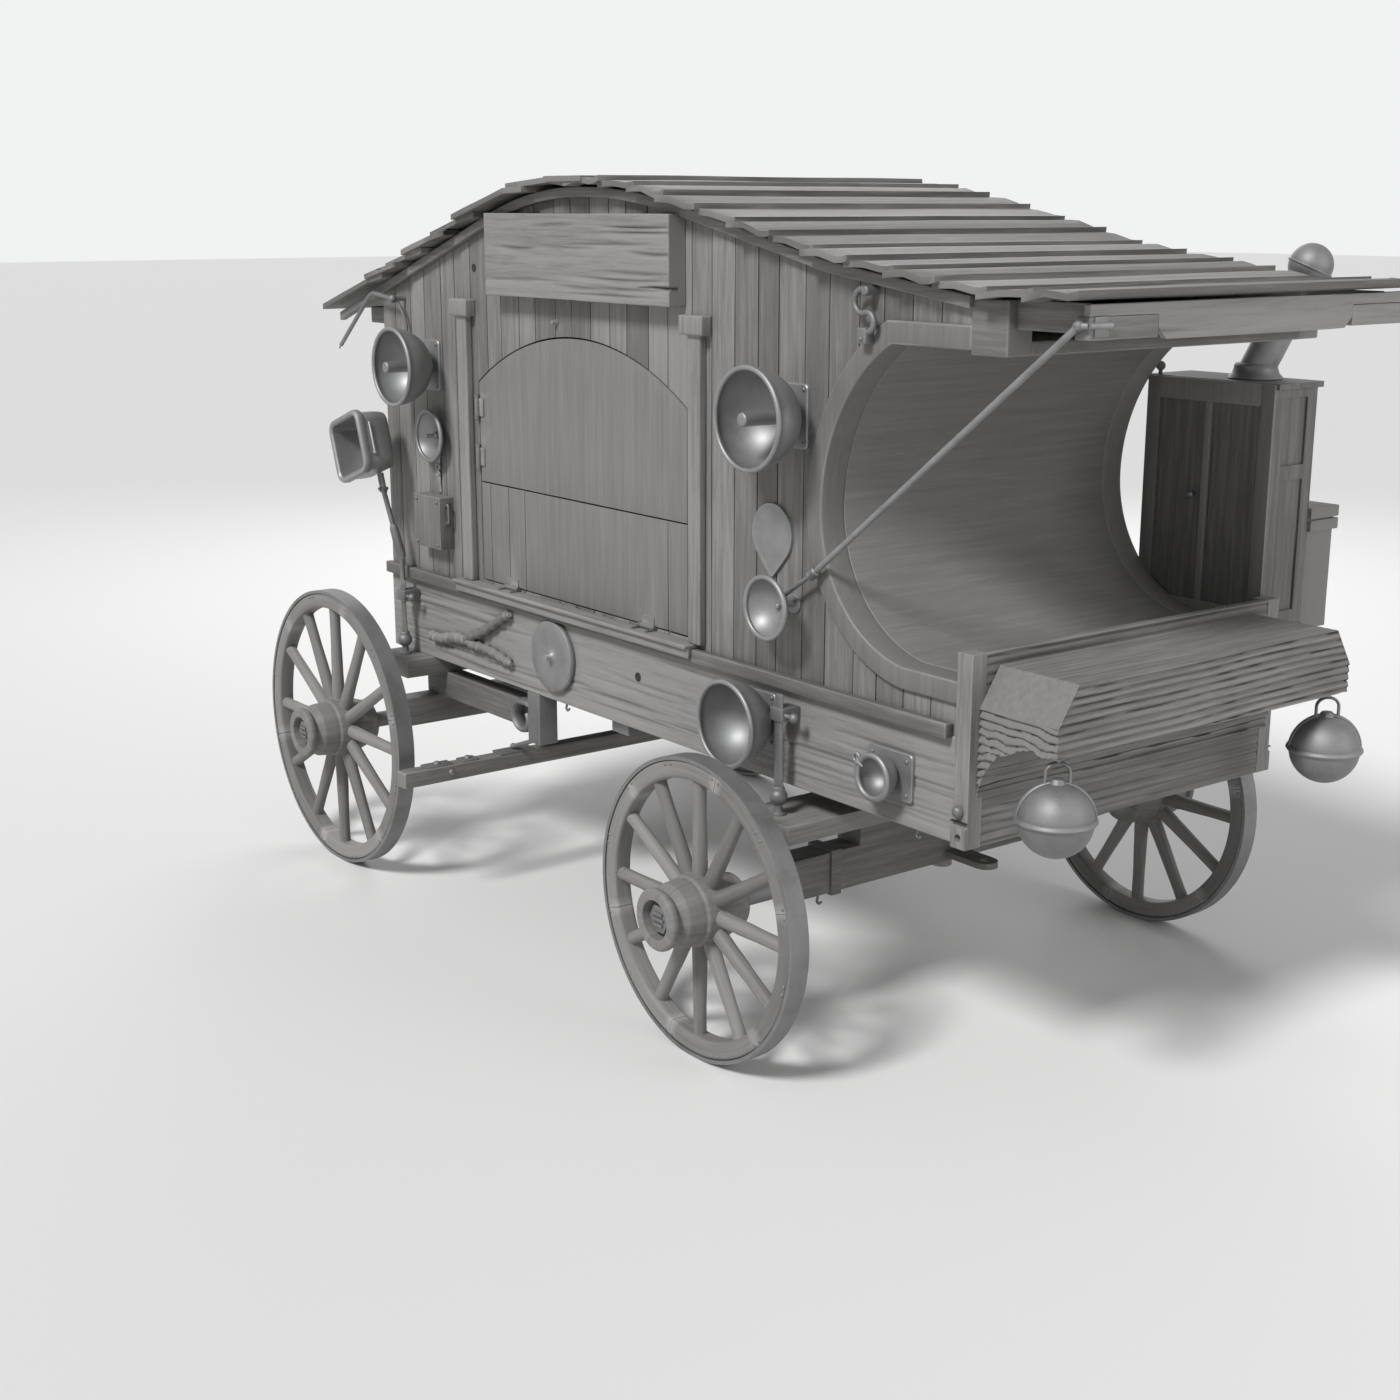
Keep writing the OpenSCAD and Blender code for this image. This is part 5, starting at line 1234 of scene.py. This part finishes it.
# S hook on the wall under the roof stringer: its two rounds, and the angles in degrees that they turn
HOOK_MIDDLE = Vector((1.215, -0.6723, 2.197))
HOOK_LOW_R, HOOK_HIGH_R, HOOK_ROD = 0.027, 0.033, 0.009
HOOK_LEAN, HOOK_SWEEP, HOOK_END = 110, 230, 60
HOOK_STEPS = 16
HOOK_WALL_Y, HOOK_PLATE_Y = -0.635, -0.6503


def hook_point(centre, radius, degrees):
    angle = math.radians(degrees)
    return Vector((centre[0] + radius * math.cos(angle), centre[1] + radius * math.sin(angle), 0))


def roof_hook():
    upper = hook_point((0, 0), HOOK_LOW_R + HOOK_HIGH_R, HOOK_LEAN)
    rise = HOOK_SWEEP / HOOK_STEPS
    fall = (HOOK_END - HOOK_LEAN - 180) / HOOK_STEPS
    path = []
    for i in range(HOOK_STEPS + 1):
        path.append(hook_point((0, 0), HOOK_LOW_R, HOOK_LEAN - HOOK_SWEEP + rise * i))
    for i in range(1, HOOK_STEPS + 1):
        path.append(hook_point(upper, HOOK_HIGH_R, HOOK_LEAN + 180 + fall * i))
    bm = bmesh.new()
    rod(bm, path, HOOK_ROD, 14)
    lathe(bm, rod_line(0.014, HOOK_MIDDLE.y - HOOK_WALL_Y, 0.012, 0.006), 24, path[-1])
    foot = path[0]
    slab(bm, (foot.x - 0.018, foot.y - 0.036, HOOK_MIDDLE.y - HOOK_PLATE_Y),
         (foot.x + 0.018, foot.y + 0.009, 0.010), 0.006)
    place = on_wall(*HOOK_MIDDLE)
    fitting("roof_hook_iron", bm, "roof_hook", place)
    rivets("roof_hook_rivets", "roof_hook", place, [(foot.x, foot.y - 0.022, 0.010)], 0.007, 0.006)


# Bent rod at the rear eave: its bends, then the thin leg that hangs from its foot
REAR_ROD = [
    (-1.905, -0.690, 1.970), (-1.629, -0.690, 2.1859), (-1.462, -0.690, 2.1659), (-1.462, -0.6352, 2.1659),
]
REAR_LEG = [
    (-1.462, -0.676, 2.166), (-1.440, -0.662, 2.120), (-1.426, -0.655, 2.075), (-1.424, -0.655, 2.030),
]


def rear_rod():
    bm = bmesh.new()
    bent_rod(bm, REAR_ROD, 0.0085, 0.035)
    tip, bend = Vector(REAR_ROD[0]), Vector(REAR_ROD[1])
    out = (tip - bend).normalized()
    sweep(bm, [tip - out * 0.01, tip + out * 0.022], [(0.0042, 0.0042), (0.003, 0.003)], 10)
    ball(bm, REAR_ROD[2], 0.016, 18)
    bent_rod(bm, REAR_LEG, 0.0062, 0.02)
    fitting("rear_rod_iron", bm, "rear_rod")


# Canopy strut: top, joint and foot, then where the foot meets the wall, and the pin at its top
STRUT = [(1.985, -0.675, 2.2222), (1.005, -0.675, 1.466), (0.840, -0.675, 1.360), (0.840, -0.6352, 1.360)]
STRUT_PIN_X, STRUT_PIN_Y = 2.0115, -0.668
STRUT_WALL_Y = -0.6353


def canopy_strut():
    top, mid, low, wall = (Vector(p) for p in STRUT)
    bm = bmesh.new()
    lathe(bm, rod_line(0.022, 0.0, 0.006, 0.003), 24)
    bm.transform(on_wall(wall.x, STRUT_WALL_Y, wall.z))
    rod(bm, [top, mid], 0.0095, 16)
    bent_rod(bm, [mid, low, wall], 0.0068, 0.025)
    half = (mid - top).normalized() * 0.020
    sweep(bm, [mid + half * t for t in (-1, -0.8, 0.8, 1)],
          [(0.011, 0.011), (0.0155, 0.0155), (0.0155, 0.0155), (0.010, 0.010)], 16)
    rod(bm, [mid + Vector((0, 0.016, 0)), mid - Vector((0, 0.020, 0))], 0.007)
    ball(bm, top, 0.0145, 18)
    rod(bm, [top - Vector((0, 0.012, 0)), Vector((top.x, -0.6602, top.z))], 0.0095, 14)
    pin = Vector((STRUT_PIN_X, STRUT_PIN_Y, top.z))
    sweep(bm, [top, pin], [(0.009, 0.009), (0.0082, 0.0082)], 14)
    rod(bm, [pin, pin + Vector((0, 0.082, 0))], 0.0082, 14)
    slab(bm, (STRUT_PIN_X - 0.0033, -0.645, top.z - 0.028), (STRUT_PIN_X, -0.595, top.z + 0.022), 0.0012)
    fitting("canopy_strut_iron", bm, "canopy_strut")


# Hanging pots, the way they are turned, and the strap loop each hangs by
POT_X, POT_Y, POT_Z = 1.905, 0.585, 0.925
POT_R = 0.104
POT_TURN = math.radians(-40)
POT_HANG = 1.100 - POT_Z
LOOP_HALF, LOOP_RISE, LOOP_TOP = 0.033, 0.026, 0.028


def pot(bm):
    """One pot about its own middle: shell, brim, rib, crown, strap loop, rod and its nut."""
    turns = [math.pi * i / 20 for i in range(21)]
    lathe(bm, [(max(POT_R * math.sin(a), TINY), -POT_R * math.cos(a)) for a in turns], 48)
    brim = [(-0.006, 0.013), (0.0005, 0.012), (0.007, 0.006), (0.009, 0.0), (0.005, -0.006),
            (-0.006, -0.008)]
    lathe(bm, [(POT_R + r, z) for r, z in brim], 48, closed=True)
    rib = [(0, y, z) for y, z in circle(POT_R + 0.001, 25, 0.0, math.pi)]
    sweep(bm, rib, [(0.009, 0.0055)] * len(rib), 12, (1, 0, 0))
    crown = [(TINY, 0.012), (0.016, 0.010), (0.021, 0.004), (0.024, -0.006)]
    lathe(bm, [(r, POT_R + z) for r, z in crown], 24)
    bow = [math.pi * i / 12 for i in range(13)]
    loop = [(-LOOP_HALF, -0.012), (-LOOP_HALF, LOOP_RISE)]
    loop += [(-LOOP_HALF * math.cos(a), LOOP_RISE + LOOP_TOP * math.sin(a)) for a in bow]
    loop += [(LOOP_HALF, LOOP_RISE), (LOOP_HALF, -0.012)]
    sweep(bm, [(0, y, POT_R + z) for y, z in loop], [(0.0085, 0.0045)] * len(loop), 12, (1, 0, 0))
    rod(bm, [(0, 0, POT_R + 0.05), (0, 0, POT_HANG - 0.0003)], 0.0072, 14)
    nut = [(TINY, -0.007), (0.018, -0.006), (0.02, -0.0004)]
    lathe(bm, [(r, POT_HANG + z) for r, z in nut], 20)


def pots():
    bm = bmesh.new()
    for y in (-POT_Y, POT_Y):
        made = len(bm.verts)
        pot(bm)
        place = Matrix.Translation((POT_X, y, POT_Z)) @ Matrix.Rotation(POT_TURN, 4, "Z")
        bm.verts.ensure_lookup_table()
        bmesh.ops.transform(bm, matrix=place, verts=bm.verts[made:])
    fitting("pots_iron", bm, "pots")


# Stove pipe: foot on the cabinet, top under its cap
PIPE_FOOT = Vector((1.425, 0.765, 1.985))
PIPE_TOP = Vector((1.530, 0.860, 2.330))
PIPE_R = 0.055
CAP_R = 0.068


def stove_pipe():
    low = PIPE_FOOT + UP * 0.024
    length = (PIPE_TOP - low).length
    bm = bmesh.new()
    tube = [(TINY, 0.0), (PIPE_R, 0.0), (PIPE_R, length - 0.085), (PIPE_R + 0.005, length - 0.082),
            (PIPE_R + 0.006, length - 0.066), (PIPE_R + 0.0005, length - 0.06), (PIPE_R, length - 0.02)]
    cap = [(r, length + z) for r, z in circle(CAP_R, 15, -0.62, 2.15)]
    lathe(bm, tube + cap + [(TINY, length + CAP_R)], 48)
    ring(bm, (0, 0, length - 0.006), CAP_R, 0.004, 48)
    bm.transform(Matrix.Translation(low) @ (PIPE_TOP - low).to_track_quat("Z", "Y").to_matrix().to_4x4())
    collar = [(TINY, 0.0002), (0.082, 0.0002), (0.084, 0.004), (0.080, 0.010), (0.072, 0.018),
              (0.066, 0.036), (0.067, 0.042), (0.063, 0.048), (0.05, 0.049)]
    lathe(bm, collar, 48, PIPE_FOOT)
    fitting("stove_pipe_iron", bm, "stove_pipe")


# Brake gear under the body: hanger blocks, rods, plates, scroll hook and cleat
HANGER_X, HANGER_Y, HANGER_LOW, SILL_LOW = -0.600, 0.600, 0.590, 0.7847
BRAKE_X, BRAKE_TOP = -0.812, 0.5101
SCROLL = Vector((-0.700, -0.6110, 0.668))
SCROLL_STEPS = 26


def scroll_hook(bm):
    points = [SCROLL + Vector((0.07, 0, 0.058)), SCROLL + Vector((0.03, 0, 0.061))]
    for i in range(SCROLL_STEPS + 1):
        t = i / SCROLL_STEPS
        radius = 0.060 - 0.030 * max(0.0, t - 0.3) / 0.7
        points.append(SCROLL + radial(math.radians(90 + 305 * t)) * radius)
    shares = [i / (len(points) - 1) for i in range(len(points))]
    sweep(bm, points, [(0.030 - 0.010 * t, 0.0145 - 0.004 * t) for t in shares], 16, (0, 1, 0))


def brake_gear():
    bm = bmesh.new()
    for side in (-1, 1):
        y = side * HANGER_Y
        slab(bm, (HANGER_X - 0.04, y - 0.04, HANGER_LOW), (HANGER_X + 0.04, y + 0.04, SILL_LOW), 0.006)
        end = Vector((BRAKE_X, y, BRAKE_TOP + 0.018))
        start = [(HANGER_X, y, HANGER_LOW + 0.02), (HANGER_X - 0.02, y, HANGER_LOW + 0.008)]
        bent_rod(bm, [*start, end], 0.0085, 0.02)
        ball(bm, end, 0.012, 16)
        slab(bm, (BRAKE_X - 0.030, y - 0.075, BRAKE_TOP),
             (BRAKE_X + 0.030, y + 0.075, BRAKE_TOP + 0.009), 0.003)
    scroll_hook(bm)
    slab(bm, (-0.145, -0.605, 0.733), (-0.045, -0.555, SILL_LOW), 0.006)
    fitting("brake_gear_iron", bm, "brake_hangers")


# Small details, each on the piece that carries it: holes as node, x, y, z and radius
HOLES = {
    "sill_hole": ("sill_boards", 0.066, -0.640, 0.971, 0.0135),
    "wall_hole": ("wall_right", -0.944, -0.635, 2.292, 0.0125),
}


def hole(name, node, x, y, z, radius):
    """A bored hole: a worn lip round a shallow near-black cup, painted shade for the hole's depth."""
    bm = bmesh.new()
    cup = [(radius + 0.0025, -0.001), (radius + 0.002, 0.0016), (radius, 0.0019), (radius - 0.001, 0.0012),
           (radius * 0.6, 0.0009), (TINY, 0.0008)]
    lathe(bm, cup, 24)
    extra(name, bm, node, SHADE_BLACK, on_wall(x, y, z))


def wall_peg():
    bm = bmesh.new()
    peg = [(0.011, -0.002), (0.011, 0.004), (0.0085, 0.007), (0.0075, 0.018), (0.0055, 0.022),
           (TINY, 0.0225)]
    lathe(bm, peg, 20)
    fitting("wall_peg", bm, "wall_right", on_wall(-0.403, -0.635, 2.124), stands_for=False)


def post_irons():
    """Bolt heads of the two front posts, and the joint above each foot as a thin near-black strip, painted
    shade for its groove.
    """
    heads, bm = [], bmesh.new()
    for side in (-1, 1):
        heads.append(((1.6215, side * 0.6682, 0.892), (0, side, 0)))
        low, high = sorted((side * 0.6600, side * 0.6690))
        slab(bm, (1.5942, low, 0.8605), (1.6530, high, 0.8640), 0.0008)
    domes("post_bolts", heads, 0.0165, 0.014, "front_posts", 20)
    extra("post_joints", bm, "front_posts", SHADE_BLACK)


def box_irons():
    """Rivets and side handle of the wall box."""
    low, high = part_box("wall_box")
    face = middle("wall_box")
    face.y = low[Y]
    rivet_places = corners(high[X] - low[X], high[Z] - low[Z], 0.018, 0.0)
    rivets("wall_box_rivets", "wall_box", on_wall(*face), rivet_places, 0.0075, 0.006)
    side, y = high[X], (low[Y] + high[Y]) / 2
    top, foot = 1.412, 1.342
    bm = bmesh.new()
    handle = [(-0.002, top), (0.016, top), (0.016, foot), (-0.002, foot)]
    bent_rod(bm, [(side + out, y, z) for out, z in handle], 0.0048, 0.010, 12)
    for z in (top, foot):
        slab(bm, (side - 0.001, y - 0.011, z - 0.011), (side + 0.003, y + 0.011, z + 0.011), 0.001)
    extra("wall_box_handle", bm, "wall_box")


def brake_irons():
    """Plates and bolt heads on the brake beam."""
    low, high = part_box("brake_beam")
    x, top = (low[X] + high[X]) / 2, high[Z]
    bm, heads = bmesh.new(), []
    for side in (-1, 1):
        for out, half in ((0.93, 0.055), (0.80, 0.035)):
            y = side * out
            slab(bm, (x - 0.026, y - half, top - 0.001), (x + 0.026, y + half, top + 0.007), 0.003)
            heads.append(((x, y, top + 0.007), (0, 0, 1)))
        heads.append(((high[X], side * 0.885, 0.482), (1, 0, 0)))
        heads.append(((low[X], side * 0.885, 0.482), (-1, 0, 0)))
    domes("brake_bolts", heads, 0.0135, 0.010, "brake_beam", 16)
    extra("brake_plates", bm, "brake_beam")


# The cabinet's face: height of its foot and top, and widths of its frame
CABINET_LOW, CABINET_TOP = 1.23, 1.983
STILE, HEAD, SOLE, MULLION = 0.05, 0.068, 0.055, 0.012


def cabinet_trim():
    """Mouldings round the two tall panels of the cabinet's face, and a door knob."""
    low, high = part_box("cabinet")
    left, right, face = low[X] + 0.012, high[X] - 0.012, low[Y]
    mid = (left + right) / 2
    bm = bmesh.new()
    for x0, x1, z0, z1 in (
        (left, left + STILE, CABINET_LOW, CABINET_TOP), (right - STILE, right, CABINET_LOW, CABINET_TOP),
        (left + STILE, right - STILE, CABINET_TOP - HEAD, CABINET_TOP),
        (left + STILE, right - STILE, CABINET_LOW, CABINET_LOW + SOLE),
        (mid - MULLION, mid + MULLION, CABINET_LOW + SOLE, CABINET_TOP - HEAD),
    ):
        slab(bm, (x0, face - 0.007, z0), (x1, face + 0.004, z1), 0.003)
    extra("cabinet_trim", bm, "cabinet", PLAIN[Z])
    knob = bmesh.new()
    outline = [(0.006, -0.002), (0.006, 0.008), (0.011, 0.012), (0.013, 0.018), (0.009, 0.024),
               (TINY, 0.0255)]
    lathe(knob, outline, 20)
    extra("cabinet_knob", knob, "cabinet", place=on_wall(mid - 0.045, face, 1.62))


def nut_lines(node, x, z):
    """Three raised lines across each axle nut."""
    for hand, side in (("right", -1), ("left", 1)):
        bm = bmesh.new()
        face = side * (TRACK / 2 + HUB_OUT - NUT_RECESS + 0.027)
        low, high = sorted((face - side * 0.002, face + side * 0.007))
        for drop, half in ((-0.017, 0.022), (0.0, 0.028), (0.017, 0.022)):
            slab(bm, (x - half, low, z + drop - 0.0048), (x + half, high, z + drop + 0.0048), 0.0022)
        extra(f"{node}_nut_lines_{hand}", bm, node)


# Small hooks under the body and the front axle: where each hangs, and its bends as x and z
HOOKS = {
    "sill_boards": ((1.406, -0.610, 0.785), (-0.420, -0.610, 0.785)),
    "front_axle": ((0.915, -0.560, 0.430),),
}
HOOK_BENDS = ((0, 0.004), (0, -0.016), (-0.006, -0.030), (0.006, -0.036), (0.016, -0.026))


def small_hooks(node, places):
    bm = bmesh.new()
    for place in places:
        top = Vector(place)
        bent_rod(bm, [top + Vector((x, 0, z)) for x, z in HOOK_BENDS], 0.0042, 0.008, 10)
        slab(bm, top - Vector((0.014, 0.010, 0.004)), top + Vector((0.014, 0.010, 0.001)), 0.0015)
    extra(f"{node}_hooks", bm, node)


for node in ("lamp_front", "lamp_rear"):
    bowl_lamp(node)
for make in (
    dish_lamp, small_bowl, big_bowl, mug, disc_lid, drop_plate, lantern, branch, stays, roof_hook, rear_rod,
    canopy_strut, pots, stove_pipe, brake_gear,
):
    make()
for name, row in HOLES.items():
    hole(name, *row)
for make in (wall_peg, post_irons, box_irons, brake_irons, cabinet_trim):
    make()
for end, (x, radius) in AXLES.items():
    nut_lines(f"{end}_axle", x, radius)
for node, places in HOOKS.items():
    small_hooks(node, places)
